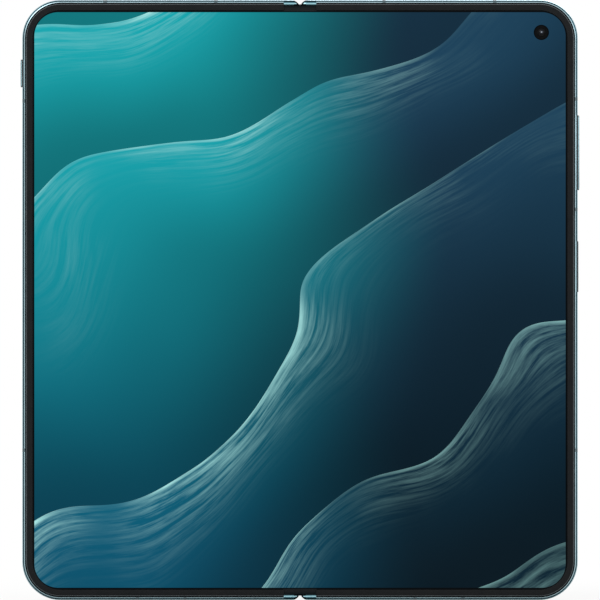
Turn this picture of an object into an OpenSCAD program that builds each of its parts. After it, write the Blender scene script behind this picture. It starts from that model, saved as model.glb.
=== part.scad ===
// Foldable smartphone: two thin halves joined by a geared hinge spine, drawn unfolded and upright.
// X runs across the open screen, Z runs up, and the inner screen faces -Y.
// Depths are called v: v = 0 is the front rim and v = body_t is the back glass.
// The right half carries the camera island; the left half carries the cover screen.

/* [Body] */
// Width of one half, from the fold line to the outer edge
half_w = 71; // [68:0.5:76]
// Height of the phone
body_h = 153.4; // [148:0.2:160]
// Thickness of one half
body_t = 5.8; // [5.7:0.1:6.6]
// Radius of the outer corners
corner_r = 9.8; // [7:0.1:12]
// Radius of the corners beside the fold
hinge_corner_r = 2; // [1.7:0.1:2.4]
// Gap between the two halves when open, and between the two rims when closed
half_gap = 0.1; // [0.06:0.02:0.16]

/* [Frame] */
// Thickness of the metal wall
wall_t = 1.3; // [1.2:0.05:1.6]
// Radius of the wall's front edge
front_round = 0.85; // [0.6:0.05:0.9]
// Radius of the wall's back edge
back_round = 0.95; // [0.6:0.05:0.95]
// Thickness of the end wall beside the fold
lug_t = 1; // [0.8:0.05:1.1]
// Thickness of the plate that crosses the frame
web_t = 0.5; // [0.4:0.05:0.6]
// Width of an antenna band
band_w = 0.9; // [0.6:0.1:1.4]
// Depth of an antenna band in the wall
band_d = 0.75; // [0.5:0.05:0.9]
// Height of the lower side antenna bands above the bottom edge
low_band = 38.3; // [30:0.1:46]
// Distance of the right upper antenna bands from the top edge
right_high_bands = [53.6, 25.3];
// Distance of the left upper antenna band from the top edge
left_high_band = 25.8; // [24:0.1:28]
// Distance of the top antenna bands from the outer edge
top_band_places = [49.5, 21.2];
// Distance of the bottom antenna bands from the charging port's middle
port_band = 6.1; // [5.6:0.1:6.6]

/* [Inner screen] */
// Thickness of the raised bezel strip
bezel_t = 0.3; // [0.25:0.05:0.4]
// Distance of the bezel's outer edge from the frame's outer face
bezel_in = 0.9; // [0.9:0.05:1.1]
// Width of the bezel
bezel_w = 1.75; // [1.4:0.05:2.2]
// Distance from the fold at which the bezel stops
bezel_stop = 4.15; // [3.8:0.05:4.6]
// Thickness of the flexible display
display_t = 0.45; // [0.35:0.05:0.5]
// Half width of the part of the display that bends
bend_half = 5.5; // [5.3:0.1:6]
// Thickness of the display's support plate
support_t = 0.25; // [0.2:0.05:0.3]
// Radius of the camera's hole in the display
punch_r = 1.85; // [1.6:0.05:2.2]
// Distance of the camera's hole from the outer edge
punch_in = 9.3; // [8.6:0.1:14]
// Distance of the camera's hole from the top edge
punch_down = 8.3; // [7.6:0.1:12]

/* [Hinge] */
// Depth of the two folding axes behind the front rim
axis_v = 1.4; // [1.3:0.05:1.5]
// Thickness of the spine's wall
spine_wall = 0.5; // [0.4:0.05:0.6]
// Gap between the spine and the halves
spine_gap = 0.1; // [0.08:0.02:0.14]
// Thickness of the back lip that hides the spine
lip_t = 0.55; // [0.45:0.05:0.6]
// Thickness of the wall around the spine
cavity_wall = 0.35; // [0.3:0.05:0.45]
// Inner radius of the guide rails
rail_r1 = 2.05; // [2:0.05:2.1]
// Outer radius of the guide rails
rail_r2 = 2.65; // [2.55:0.05:2.7]
// Running clearance of the guide rails and toothed arcs
rail_gap = 0.04; // [0.03:0.01:0.06]
// Width of a guide rail
rail_w = 2; // [1.6:0.1:2.4]
// Module of the gear teeth
gear_m = 0.115; // [0.11:0.005:0.118]
// Face width of a gear
gear_w = 1.4; // [1.2:0.1:1.6]
// Radius of the gear shafts
shaft_r = 0.22; // [0.18:0.02:0.24]
// Running clearance of a shaft in its bore
shaft_gap = 0.02; // [0.01:0.01:0.04]
// Height of the lower hinge module above the bottom edge
module_low = 24; // [20:1:34]
// Distance of the wing plates' pivots from the fold
wing_x = 9.4; // [9.3:0.1:10]
// Depth of the wing plates' pivots behind the front rim
wing_v = 1.3; // [1.28:0.02:1.36]
// Distance of the wing plates' free edges from the fold
wing_tip = 3.3; // [3.2:0.1:3.8]
// Thickness of the wing plates
wing_t = 0.35; // [0.3:0.05:0.4]
// Radius of the wing plates' pins
wing_pin_r = 0.2; // [0.16:0.02:0.24]

/* [Backs] */
// Thickness of the back glass and the cover glass
glass_t = 0.55; // [0.45:0.05:0.6]
// Distance of the glass from the frame's outer face
glass_in = 1; // [0.98:0.02:1.1]
// Diameter of the camera island
island_d = 46; // [42:0.5:49]
// Height of the camera island above the back
island_h = 2.9; // [2.4:0.1:3.4]
// Distance of the island's centre from the outer edge
island_in = 35; // [33:0.5:37]
// Distance of the island's centre from the top edge
island_down = 37; // [34:0.5:42]
// Distance of the lenses from the island's centre
lens_ring_r = 12.4; // [12:0.1:12.8]
// Outer radius of a lens ring
lens_r = 7.2; // [6.8:0.1:7.6]

/* [Controls] */
// Width of the side keys, front to back
key_w = 1.9; // [1.6:0.1:2.2]
// Clearance around the side keys
key_gap = 0.08; // [0.06:0.02:0.12]
// Length of the volume rocker
volume_l = 19.2; // [16:0.2:22]
// Distance of the volume rocker's middle from the top edge
volume_down = 39; // [36.4:0.2:41.4]
// How far the volume rocker stands proud
volume_out = 0.5; // [0.4:0.05:0.7]
// Length of the power button
power_l = 13.1; // [11:0.1:15]
// Distance of the power button's middle from the top edge
power_down = 68.15; // [65.4:0.05:70.4]
// How far the power button stands proud
power_out = 0.25; // [0.25:0.05:0.4]
// Travel of the power button
power_travel = 0.2; // [0.15:0.05:0.25]
// Length of the alert slider
slider_l = 7.1; // [6:0.1:8]
// Distance of the alert slider's middle from the top edge
slider_down = 18.75; // [17.4:0.05:19.6]
// How far the alert slider stands proud
slider_out = 0.5; // [0.4:0.05:0.7]
// Travel of the alert slider each way
slider_travel = 1.5; // [1:0.1:2]
// Width of the SIM tray's face
tray_w = 12.4; // [11:0.2:14]
// Length of the SIM tray
tray_l = 15; // [13:0.5:17]
// Thickness of the SIM tray
tray_t = 1.1; // [0.9:0.1:1.3]

/* [Electronics] */
// Depth of the battery's front face
battery_v = 1.7; // [1.65:0.05:1.9]
// Thickness of the batteries
battery_t = 3.1; // [2.4:0.1:3.2]
// Width of the batteries
battery_w = 44; // [36:1:46]
// Height of the right battery
battery_h = 58; // [48:1:60]
// Thickness of the circuit boards
board_t = 0.6; // [0.5:0.1:0.8]
// Depth of the circuit boards' front faces
board_v = 2.6; // [2.5:0.1:2.7]
// Thickness of the shield cans
shield_t = 0.8; // [0.6:0.1:0.85]
// Width of the charging port's shell
usb_w = 8.94; // [8.9:0.02:9]
// Height of the charging port's shell
usb_h = 3.16; // [3.1:0.02:3.2]
// Length of the charging port's shell
usb_l = 7.4; // [6.8:0.1:8]

/* [Hidden] */
$fn = 48;
eps = 0.01;
slip = 0.05;
// Flat steps in each rounded edge of the wall
round_steps = 7;

// Depths of the layers, front to back
display_v1 = bezel_t;
display_v2 = display_v1 + display_t;
support_v2 = display_v2 + support_t;
web_v2 = support_v2 + web_t;
glass_v1 = body_t - glass_t;
lip_v1 = body_t - lip_t;
key_v = body_t / 2;
key_flange = 1;
volume_z = body_h - volume_down;
power_z = body_h - power_down;
slider_z = body_h - slider_down;
slider_x = half_w - wall_t - key_flange - 2.4;
y0 = -(body_t + island_h) / 2;

// Folding axes and the round spine around them
axis_x = axis_v + half_gap / 2;
spine_r = lip_v1 - spine_gap - axis_v;
spine_in = spine_r - spine_wall;
cavity_r = spine_r + spine_gap;
cavity_r2 = cavity_r + cavity_wall;
spine_end = lug_t + spine_gap;
edge_x = half_gap / 2;
display_in = wall_t + slip;
lug_x = axis_x + cavity_r2 + 0.3;

// Pocket behind each wing plate, which also seats the swing arms
pocket_x = wing_x + 0.5;
pocket_wall = 0.8;
pocket_v1 = 4.1;
pocket_v2 = 4.6;
lip_x = axis_x + cavity_r2;
lip_root = 7.2;
glass_x = lip_x + slip;
back_ledge = glass_v1 - slip;
bezel_ledge = bezel_t + slip;

// Gear train: a toothed arc on each half and one pinion per side
pinion_teeth = 10;
arc_teeth = 30;
arc_ratio = arc_teeth / pinion_teeth;
tooth_pitch = 360 / arc_teeth;
tooth_count = 9;
backlash = 0.035;
pressure = 20;
addendum = 0.8 * gear_m;
dedendum = 1.05 * gear_m;
pinion_p = gear_m * pinion_teeth / 2;
arc_p = gear_m * arc_teeth / 2;
pinion_x = pinion_p;
pinion_down = sqrt(pow(pinion_p + arc_p, 2) - pow(axis_x - pinion_x, 2));
pinion_v = axis_v + pinion_down;
mesh_angle = 180 - atan2(pinion_down, axis_x - pinion_x);
left_tooth = 197;
right_tooth = left_tooth - tooth_pitch / 2;
arc_r1 = 1.3;

// Places along one hinge module, from its lower end
tab_l = 3;
cheek = 0.8;
rail_a = tab_l + cheek;
rail_b = rail_a + rail_w + cheek;
gear_wall = rail_b + rail_w;
arc_a = gear_wall + cheek;
arc_b = arc_a + gear_w + 0.1;
washer_wall = arc_b + gear_w;
washer_z = washer_wall + cheek;
washer_l = 2.6;
end_wall = washer_z + washer_l + 0.2;
module_l = end_wall + cheek + tab_l;
module_zs = [module_low, body_h - module_low - module_l];
tab_screw_x = 1.9;
arm_clear = 0.1;

// Camera island
island_x = half_w - island_in;
island_z = body_h - island_down;
island_r = island_d / 2;
lens_angles = [135, 45, 225];
island_glass_t = 0.6;
island_bevel = 0.4;
island_seat_r = island_r - 1.55;
flash_angle = -45;
flash_r = 2.17;
lens_hole_r = lens_r - 1.1;
camera_half = 5.4;
camera_v1 = 3.6;
island_out = body_t + island_h - 0.5;

// Places along the edges
punch_x = half_w - punch_in;
punch_z = body_h - punch_down;
usb_x = half_w / 2;
usb_v = 3.35;
side_bands = [low_band, body_h - right_high_bands[0], body_h - right_high_bands[1]];
left_side_bands = [low_band, body_h - left_high_band];
top_bands = [half_w - top_band_places[0], half_w - top_band_places[1]];
bottom_bands = [usb_x - port_band, usb_x + port_band];

// Circuit boards and batteries
bay_x = pocket_x + pocket_wall;
tray_x = (bay_x + bottom_bands[0]) / 2;
battery_x = bay_x + 3.3 + battery_w / 2;
battery_z = 28;
left_battery_z = 14;
board_x1 = bay_x + 1.3;
board_x2 = half_w - 4;
board_z1 = battery_z + battery_h + 10.4;
board_z2 = body_h - 3;
left_board_z1 = body_h - 44;
left_board_z2 = body_h - 12;
left_board_x2 = slider_x - 0.4;
screw_in = 2.2;
screw_places = [[board_x1 + screw_in, board_z1 + 4], [board_x2 - screw_in, board_z1 + 4],
                [board_x1 + screw_in, board_z2 - 2.6], [punch_x - 9.7, board_z2 - 2.6]];
magnet_places = [20, 52, body_h - 14.4];
magnet_l = 10;
magnet_w = 1.6;
magnet_t = 0.85;
magnet_x = slider_x - 0.3 - magnet_w;

// Screws: hole, thread and head
boss_r = 1.4;
board_hole_r = 0.5;
foot_hole_r = 0.45;
foot_thread_r = 0.4;
foot_head_r = 0.8;
foot_head_t = 0.35;
tab_hole_r = 0.4;
tab_thread_r = 0.35;
tab_head_r = 0.7;
tab_head_t = 0.35;
// Hole around the inner camera in the plates behind the display
punch_clear = 2.85;

// A flat piece between two depths, from an outline in X and Z
module slab(v1, v2) {
    translate([0, y0 + v2, 0])
        rotate([90, 0, 0])
            linear_extrude(v2 - v1) children();
}

// A long piece between two heights, from an outline in X and v
module run(z1, z2) {
    translate([0, y0, z1])
        linear_extrude(z2 - z1) children();
}

// A box between two corners in X, v and Z
module block(p, q) {
    translate([p[0], y0 + p[1], p[2]])
        cube([q[0] - p[0], q[1] - p[1], q[2] - p[2]]);
}

// A round piece along the depth
module disc(x, z, r, v1, v2) {
    translate([x, y0 + v1, z])
        rotate([-90, 0, 0])
            cylinder(r = r, h = v2 - v1);
}

// The same shape once at the bottom and once mirrored at the top
module both_ends() {
    children();
    translate([0, 0, body_h]) mirror([0, 0, 1]) children();
}

module other_half() {
    mirror([1, 0, 0]) children();
}

function arc_points(cx, cy, r, a1, a2, steps) =
    [for (i = [0:steps]) let (a = a1 + (a2 - a1) * i / steps) [cx + r * cos(a), cy + r * sin(a)]];

// Wall section as distance in from the outer face and depth
function wall_section(t, ledges) = concat(
    [[t, ledges ? bezel_ledge : 0]],
    ledges ? [[front_round, bezel_ledge], [front_round, 0]] : [],
    arc_points(front_round, front_round, front_round, 270, 180, round_steps),
    arc_points(back_round, body_t - back_round, back_round, 180, 90, round_steps),
    ledges ? [[glass_in - slip, body_t], [glass_in - slip, back_ledge]] : [],
    [[t, ledges ? back_ledge : body_t]]);

module outline(inset, x1) {
    r = corner_r - inset;
    translate([x1, inset]) square([half_w - corner_r - x1, body_h - 2 * inset]);
    translate([x1, corner_r]) square([half_w - inset - x1, body_h - 2 * corner_r]);
    for (z = [corner_r, body_h - corner_r]) translate([half_w - corner_r, z]) circle(r);
}

// Ring sector about a folding axis, in X and v
module arc_band(cx, r1, r2, a1, a2) {
    reach = 2 * r2;
    translate([cx, axis_v]) intersection() {
        difference() {
            circle(r2);
            circle(r1);
        }
        polygon(concat([[0, 0]], arc_points(0, 0, reach, a1, a2, 6)));
    }
}

// ---------- frames ----------
module wall_run_x(x1, x2, t, ledges) {
    translate([x1, 0, 0])
        rotate([90, 0, 90])
            linear_extrude(x2 - x1)
                polygon([for (p = wall_section(t, ledges)) [y0 + p[1], p[0]]]);
}

module wall_corner(cx, r, t, ledges, turn) {
    translate([cx, y0, r])
        rotate([-90, turn, 0])
            rotate_extrude(angle = 90)
                polygon([for (p = wall_section(t, ledges)) [r - p[0], p[1]]]);
}

module rim() {
    run(corner_r, body_h - corner_r)
        polygon([for (p = wall_section(wall_t, true)) [half_w - p[0], p[1]]]);
    both_ends() {
        wall_run_x(lug_x, half_w - corner_r, wall_t, true);
        wall_corner(half_w - corner_r, corner_r, wall_t, true, 0);
    }
}

// End wall beside the fold, with the rounded corner of the half
module lug() {
    wall_run_x(edge_x + hinge_corner_r, bezel_stop - slip, lug_t, false);
    wall_run_x(bezel_stop - slip, lug_x + eps, lug_t, true);
    intersection() {
        wall_corner(edge_x + hinge_corner_r, hinge_corner_r, hinge_corner_r - 0.2, false, 90);
        block([0, 0, 0], [hinge_corner_r + 1, body_t, lug_t]);
    }
}

// What must go so that the front edges clear each other while folding
module fold_relief() {
    run(-1, body_h + 1) difference() {
        translate([-1, -1]) square([axis_x + 1, axis_v + 1]);
        translate([axis_x, axis_v]) circle(axis_v);
    }
}

module lip() {
    slab(lip_v1, body_t) intersection() {
        union() {
            translate([edge_x, hinge_corner_r])
                square([lip_x - edge_x, body_h - 2 * hinge_corner_r]);
            translate([edge_x + hinge_corner_r, 0])
                square([lip_x - edge_x - hinge_corner_r, body_h]);
            for (z = [hinge_corner_r, body_h - hinge_corner_r])
                translate([edge_x + hinge_corner_r, z]) circle(hinge_corner_r);
        }
        translate([0, lug_t - eps]) square([half_w, body_h - 2 * lug_t + 2 * eps]);
    }
}

// Space that a swing arm's web sweeps out of the spine and the cavity wall
module web_slot(z1, z2, front) {
    run(z1 - arm_clear, z2 + arm_clear)
        polygon([[3, front], [3, 3.2], [4.4, 2.95], [lip_x + 0.5, 2.95], [lip_x + 0.5, front]]);
}

module arm_slots(right, front) {
    for (m = module_zs) {
        rail = right ? rail_b : rail_a;
        arc = right ? arc_b : arc_a;
        web_slot(m + rail, m + rail + rail_w, front);
        web_slot(m + arc, m + arc + gear_w, front);
    }
}

function foot_z1(right) = (right ? rail_b : rail_a);
function foot_z2(right) = (right ? arc_b : arc_a) + gear_w;
function foot_screws(right) = [foot_z1(right) + 1, foot_z2(right) - 1];
foot_x1 = lip_x + 0.25;
foot_x2 = 9.2;
foot_v1 = 2.25;
foot_v2 = 2.85;
foot_screw_x = 7.7;

module frame_core(right) {
    difference() {
        union() {
            rim();
            both_ends() lug();
            lip();
            slab(support_v2, web_v2) intersection() {
                outline(wall_t - eps, pocket_x);
                translate([pocket_x, 0]) square([half_w, body_h]);
            }
            run(lug_t - eps, body_h - lug_t + eps) {
                intersection() {
                    difference() {
                        translate([axis_x, axis_v]) circle(cavity_r2);
                        translate([axis_x, axis_v]) circle(cavity_r);
                    }
                    translate([axis_x, foot_v1]) square([10, lip_v1 + 0.02 - foot_v1]);
                }
                difference() {
                    union() {
                        translate([axis_x, pocket_v1])
                            square([pocket_x + pocket_wall - axis_x, pocket_v2 - pocket_v1]);
                        translate([axis_x, pocket_v2 - eps])
                            square([lip_root - axis_x, back_ledge - pocket_v2 + eps]);
                        translate([axis_x, back_ledge - eps])
                            square([lip_x - axis_x, lip_v1 - back_ledge + 2 * eps]);
                    }
                    translate([axis_x, axis_v]) circle(cavity_r + 0.1);
                }
                translate([pocket_x, support_v2])
                    square([pocket_wall, pocket_v2 - support_v2]);
            }
            for (m = module_zs)
                block([foot_x1, foot_v2, m + foot_z1(right)],
                      [foot_x2, pocket_v1 + eps, m + foot_z2(right)]);
        }
        fold_relief();
        arm_slots(right, foot_v1 - arm_clear);
        both_ends() translate([wing_x, y0 + wing_v, wall_t - 0.6])
            cylinder(r = wing_pin_r + shaft_gap, h = 2);
        for (m = module_zs, z = foot_screws(right))
            disc(foot_screw_x, m + z, foot_hole_r, foot_v2 - 1, foot_v2 + 0.9);
    }
}

module side_band(z) {
    block([half_w - band_d, 0, z - band_w / 2], [half_w, body_t, z + band_w / 2]);
}

module end_band(x) {
    block([x - band_w / 2, 0, 0], [x + band_w / 2, body_t, band_d]);
}

module band_places(side) {
    for (z = side) side_band(z);
    for (x = bottom_bands) end_band(x);
    for (x = top_bands) translate([0, 0, body_h]) mirror([0, 0, 1]) end_band(x);
}

// Slot for a side key: a rounded opening along Z
module key_slot(z, l, w, x1, x2) {
    translate([x1, y0 + key_v, z])
        rotate([0, 90, 0])
            linear_extrude(x2 - x1) {
                square([l - w, w], center = true);
                for (s = [-1, 1]) translate([s * (l - w) / 2, 0]) circle(w / 2);
            }
}

slot_w = key_w + 2 * key_gap;
grille_r = 0.55;
grille_pitch = 2.2;
speaker_x = half_w - 18;
speaker_half = 9;
mic_r = 0.4;

module usb_outline(grow) {
    r = usb_h / 2 + grow;
    translate([usb_x, usb_v]) {
        square([usb_w - usb_h, 2 * r], center = true);
        for (s = [-1, 1]) translate([s * (usb_w - usb_h) / 2, 0]) circle(r);
    }
}

tray_v = 3.3;
tray_face_t = 1.2;
tray_face_h = 1.9;

module right_frame() color("#7f9a9f") {
    difference() {
        union() {
            frame_core(true);
            for (p = screw_places) disc(p[0], p[1], boss_r, web_v2 - eps, board_v);
        }
        band_places(side_bands);
        key_slot(volume_z, volume_l + 2 * key_gap, slot_w, half_w - wall_t - 1, half_w + 1);
        key_slot(power_z, power_l + 2 * key_gap, slot_w, half_w - wall_t - 1, half_w + 1);
        run(-1, wall_t + 1) usb_outline(slip);
        for (i = [-3:3])
            translate([speaker_x + i * grille_pitch, y0 + usb_v, -1]) cylinder(r = grille_r, h = wall_t + 2);
        block([tray_x - tray_w / 2 - key_gap, tray_v - tray_face_h / 2 - key_gap, -1],
              [tray_x + tray_w / 2 + key_gap, tray_v + tray_face_h / 2 + key_gap, wall_t + 1]);
        translate([usb_x - 1, y0 + key_v, body_h - wall_t - 1]) cylinder(r = mic_r, h = wall_t + 2);
        disc(punch_x, punch_z, punch_clear, support_v2 - 1, web_v2 + 1);
        for (p = screw_places) disc(p[0], p[1], board_hole_r, web_v2, board_v + 1);
    }
}

module left_frame() color("#7f9a9f") other_half() {
    difference() {
        frame_core(false);
        band_places(left_side_bands);
        key_slot(slider_z, slider_l + 2 * slider_travel + 2 * key_gap, slot_w,
                 half_w - wall_t - 1, half_w + 1);
        for (i = [-4:4])
            translate([usb_x + i * grille_pitch, y0 + key_v, body_h - wall_t - 1])
                cylinder(r = grille_r, h = wall_t + 2);
        translate([usb_x, y0 + key_v, -1]) cylinder(r = mic_r, h = wall_t + 2);
    }
}

module right_antenna_bands() color("#5f7176") intersection() {
    rim();
    band_places(side_bands);
}

module left_antenna_bands() color("#5f7176") other_half() intersection() {
    rim();
    band_places(left_side_bands);
}

// ---------- inner screen ----------
module bezel_shape() {
    difference() {
        outline(bezel_in, bezel_stop);
        outline(bezel_in + bezel_w, bezel_stop - 1);
    }
}

module right_bezel() color("#26292b") slab(0, bezel_t) bezel_shape();
module left_bezel() color("#26292b") other_half() slab(0, bezel_t) bezel_shape();

module display_right() color("#0d5a68") slab(display_v1, display_v2) difference() {
    outline(display_in, bend_half + 0.01);
    translate([punch_x, punch_z]) circle(punch_r);
}

module display_left() color("#178f97") other_half()
    slab(display_v1, display_v2) outline(display_in, bend_half + 0.01);

module display_fold() color("#0f6f7c") slab(display_v1, display_v2)
    translate([-bend_half, display_in]) square([2 * bend_half, body_h - 2 * display_in]);

module right_support_plate() color("#9aa0a3") slab(display_v2, support_v2) difference() {
    outline(display_in, pocket_x + slip);
    translate([punch_x, punch_z]) circle(punch_clear);
}

module left_support_plate() color("#9aa0a3") other_half()
    slab(display_v2, support_v2) outline(display_in, pocket_x + slip);

// ---------- wing plates under the bend ----------
wing_v1 = display_v2 + slip;
wing_z1 = display_in + 1.3;

module wing_plate() {
    run(wing_z1, body_h - wing_z1) {
        translate([wing_tip, wing_v1]) square([wing_x - wing_tip, wing_t]);
        translate([wing_x, wing_v]) circle(wing_v - wing_v1 - 0.05);
    }
    translate([wing_x, y0 + wing_v, wall_t - 0.5])
        cylinder(r = wing_pin_r, h = body_h - 2 * wall_t + 1);
}

module right_wing_plate() color("#8d9396") wing_plate();
module left_wing_plate() color("#8d9396") other_half() wing_plate();

// ---------- hinge gears ----------
function involute(base, r) = r <= base ? 0 : tan(acos(base / r)) * 180 / PI - acos(base / r);

// Half the angle of one tooth at radius r, on a gear of pitch radius p
function tooth_half(p, r) =
    (PI * gear_m / 2 - backlash) / (2 * p) * 180 / PI
    + involute(p * cos(pressure), p) - involute(p * cos(pressure), r);

function tooth_radii(p) =
    [p - dedendum, max(p * cos(pressure), p - 0.6 * dedendum), p, p + 0.5 * addendum, p + addendum];

function tooth_side(p, mid, side) =
    [for (r = tooth_radii(p)) let (a = mid + side * tooth_half(p, r)) [r * cos(a), r * sin(a)]];

function reversed(list) = [for (i = [len(list) - 1:-1:0]) list[i]];

module pinion(tooth) {
    translate([pinion_x, pinion_v])
        polygon([for (i = [0:pinion_teeth - 1])
            let (mid = tooth + i * 360 / pinion_teeth)
            for (p = concat(tooth_side(pinion_p, mid, -1), reversed(tooth_side(pinion_p, mid, 1)))) p]);
}

// Angle of a pinion tooth when the toothed arc has a tooth at angle t
function pinion_tooth(t) = mesh_angle + 180 + 180 / pinion_teeth - arc_ratio * (t - mesh_angle);

module idler_gears(tooth) {
    for (m = module_zs) {
        run(m + arc_a, m + arc_b + gear_w) pinion(tooth);
        translate([pinion_x, y0 + pinion_v, m + gear_wall + 0.1])
            cylinder(r = shaft_r, h = end_wall + cheek - gear_wall - 0.2);
    }
}

module right_idler_gears() color("#b9bdbf") idler_gears(pinion_tooth(right_tooth));
module left_idler_gears() color("#b9bdbf") other_half() idler_gears(pinion_tooth(left_tooth));

// ---------- swing arms ----------
rail_end = 158;

module arm_web(to_arc) {
    polygon(concat([[foot_x1 + 0.5, foot_v1], [3.3, foot_v1 + 0.5]],
                   to_arc ? [[2.6, 2.45], [2.2, 2.5], [2.2, 3], [2.6, 3.3]] : [[3, 2.8], [3, 3.3]],
                   [[3.3, 3.1], [4.4, foot_v2], [foot_x1 + 0.5, foot_v2]]));
}

module toothed_arc(first) {
    root = arc_p - dedendum + 0.004;
    arc_band(axis_x, arc_r1, root, 48, first + 3);
    translate([axis_x, axis_v])
        for (i = [0:tooth_count - 1])
            polygon(concat([[(root - 0.1) * cos(first - i * tooth_pitch - 3),
                             (root - 0.1) * sin(first - i * tooth_pitch - 3)]],
                           tooth_side(arc_p, first - i * tooth_pitch, -1),
                           reversed(tooth_side(arc_p, first - i * tooth_pitch, 1)),
                           [[(root - 0.1) * cos(first - i * tooth_pitch + 3),
                             (root - 0.1) * sin(first - i * tooth_pitch + 3)]]));
}

module swing_arms(right) {
    rail = right ? rail_b : rail_a;
    arc = right ? arc_b : arc_a;
    tooth = right ? right_tooth : left_tooth;
    for (m = module_zs) difference() {
        union() {
            run(m + rail, m + rail + rail_w) {
                arc_band(axis_x, rail_r1, rail_r2, 40, rail_end);
                arm_web(false);
            }
            run(m + arc, m + arc + gear_w) {
                toothed_arc(tooth);
                arm_web(true);
            }
            block([foot_x1, foot_v1, m + foot_z1(right)], [foot_x2, foot_v2 - slip, m + foot_z2(right)]);
        }
        for (z = foot_screws(right)) disc(foot_screw_x, m + z, foot_hole_r + slip, 0, body_t);
    }
}

module right_swing_arms() color("#a3a8ab") swing_arms(true);
module left_swing_arms() color("#a3a8ab") other_half() swing_arms(false);

module foot_screw_set(right) {
    for (m = module_zs, z = foot_screws(right)) {
        disc(foot_screw_x, m + z, foot_head_r, foot_v1 - foot_head_t, foot_v1);
        disc(foot_screw_x, m + z, foot_thread_r, foot_v1 - eps, foot_v2 + 0.8);
    }
}

module right_hinge_screws() color("#6d7173") foot_screw_set(true);
module left_hinge_screws() color("#6d7173") other_half() foot_screw_set(false);

// ---------- spine ----------
module stadium(r) {
    for (s = [-1, 1]) translate([s * axis_x, axis_v]) circle(r);
    translate([-axis_x, axis_v - r]) square([2 * axis_x, 2 * r]);
}

module below(v, x) {
    translate([-x, v]) square([2 * x, body_t]);
}

module hinge_spine() color("#8fa6ab") difference() {
    run(spine_end, body_h - spine_end) intersection() {
        difference() {
            stadium(spine_r);
            stadium(spine_in);
        }
        below(axis_v, 10);
    }
    arm_slots(true, 0);
    other_half() arm_slots(false, 0);
    for (m = module_zs, z = [tab_l / 2, module_l - tab_l / 2], s = [-1, 1])
        disc(s * tab_screw_x, m + z, tab_hole_r, 4, lip_v1 - spine_gap - 0.2);
}

module spine_end_caps() color("#2b2e30") both_ends() run(spine_end, spine_end + 0.8)
    intersection() {
        stadium(spine_in - 0.02);
        below(axis_v + 0.05, 10);
    }

base_r = spine_in - 0.02;
loop_v = 2.95;
base_side = 2.5;

module base_cheek() intersection() {
    stadium(base_r);
    union() {
        below(loop_v, 10);
        difference() {
            below(2.35, 10);
            below(2, base_side);
        }
    }
}

module base_rail(side) intersection() {
    stadium(base_r);
    union() {
        intersection() {
            below(loop_v, 10);
            translate([side * axis_x, axis_v]) circle(rail_r1 - rail_gap);
        }
        difference() {
            below(3.35, 10);
            translate([side * axis_x, axis_v]) circle(rail_r2 + rail_gap);
        }
    }
}

module pinion_holes(r) {
    for (s = [-1, 1]) translate([s * pinion_x, pinion_v]) circle(r);
}

module hinge_bases() color("#3a3d3f") for (m = module_zs) difference() {
    union() {
        run(m, m + rail_a - 0.1) base_cheek();
        run(m + rail_a - 0.1 - eps, m + rail_a + rail_w + 0.1 + eps) base_rail(-1);
        run(m + rail_a + rail_w + 0.1, m + rail_b - 0.1) base_cheek();
        run(m + rail_b - 0.1 - eps, m + rail_b + rail_w + 0.1 + eps) base_rail(1);
        run(m + gear_wall + 0.1, m + arc_a - 0.1) base_cheek();
        run(m + arc_a - 0.1 - eps, m + washer_wall + 0.1 + eps) intersection() {
            stadium(base_r);
            below(3.45, 10);
        }
        run(m + washer_wall + 0.1, m + washer_z) base_cheek();
        run(m + washer_z - eps, m + end_wall + eps) intersection() {
            stadium(base_r);
            below(pinion_v + 0.75, 10);
        }
        run(m + end_wall, m + module_l) base_cheek();
    }
    run(m + gear_wall - 1, m + end_wall + cheek + 0.1) pinion_holes(shaft_r + shaft_gap);
    run(m + arc_a - 0.05, m + washer_wall + 0.05) pinion_holes(pinion_p + addendum + 0.06);
    for (z = [tab_l / 2, module_l - tab_l / 2], s = [-1, 1]) {
        disc(s * tab_screw_x, m + z, tab_hole_r, 2, body_t);
        disc(s * tab_screw_x, m + z, tab_head_r + slip, 2, loop_v + tab_head_t + slip);
    }
}

module hinge_base_screws() color("#6d7173")
    for (m = module_zs, z = [tab_l / 2, module_l - tab_l / 2], s = [-1, 1]) {
        disc(s * tab_screw_x, m + z, tab_head_r, loop_v + slip, loop_v + tab_head_t + slip);
        disc(s * tab_screw_x, m + z, tab_thread_r, loop_v + tab_head_t + slip - eps,
             lip_v1 - spine_gap - 0.25);
    }

washer_t = 0.16;
washer_count = 12;

module friction_washers() color("#c7cacb")
    for (m = module_zs, s = [-1, 1], i = [0:washer_count - 1])
        run(m + washer_z + 0.1 + i * (washer_t + 0.04), m + washer_z + 0.1 + i * (washer_t + 0.04) + washer_t)
            translate([s * pinion_x, pinion_v]) difference() {
                circle(pinion_p - 0.05);
                circle(shaft_r + 0.03);
            }

// ---------- backs ----------
module back_glass() color("#20403f") slab(glass_v1, body_t) difference() {
    outline(glass_in, glass_x);
    translate([island_x, island_z]) circle(island_seat_r + slip);
}

module at_flash(r, v1, v2) {
    disc(island_x + lens_ring_r * cos(flash_angle), island_z + lens_ring_r * sin(flash_angle), r, v1, v2);
}

module island_base() color("#59666a") difference() {
    union() {
        disc(island_x, island_z, island_seat_r, glass_v1 + slip, body_t + eps);
        disc(island_x, island_z, island_r, body_t + eps / 2, island_out - island_bevel);
        translate([island_x, y0 + island_out - island_bevel - eps, island_z])
            rotate([-90, 0, 0])
                cylinder(r1 = island_r, r2 = island_r - island_bevel, h = island_bevel);
    }
    disc(island_x, island_z, island_seat_r - slip, island_out - island_glass_t, island_out + 1);
    for (a = lens_angles)
        disc(island_x + lens_ring_r * cos(a), island_z + lens_ring_r * sin(a), lens_r - 0.9,
             0, island_out + 1);
    at_flash(flash_r + 0.03, 0, island_out + 1);
}

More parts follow.
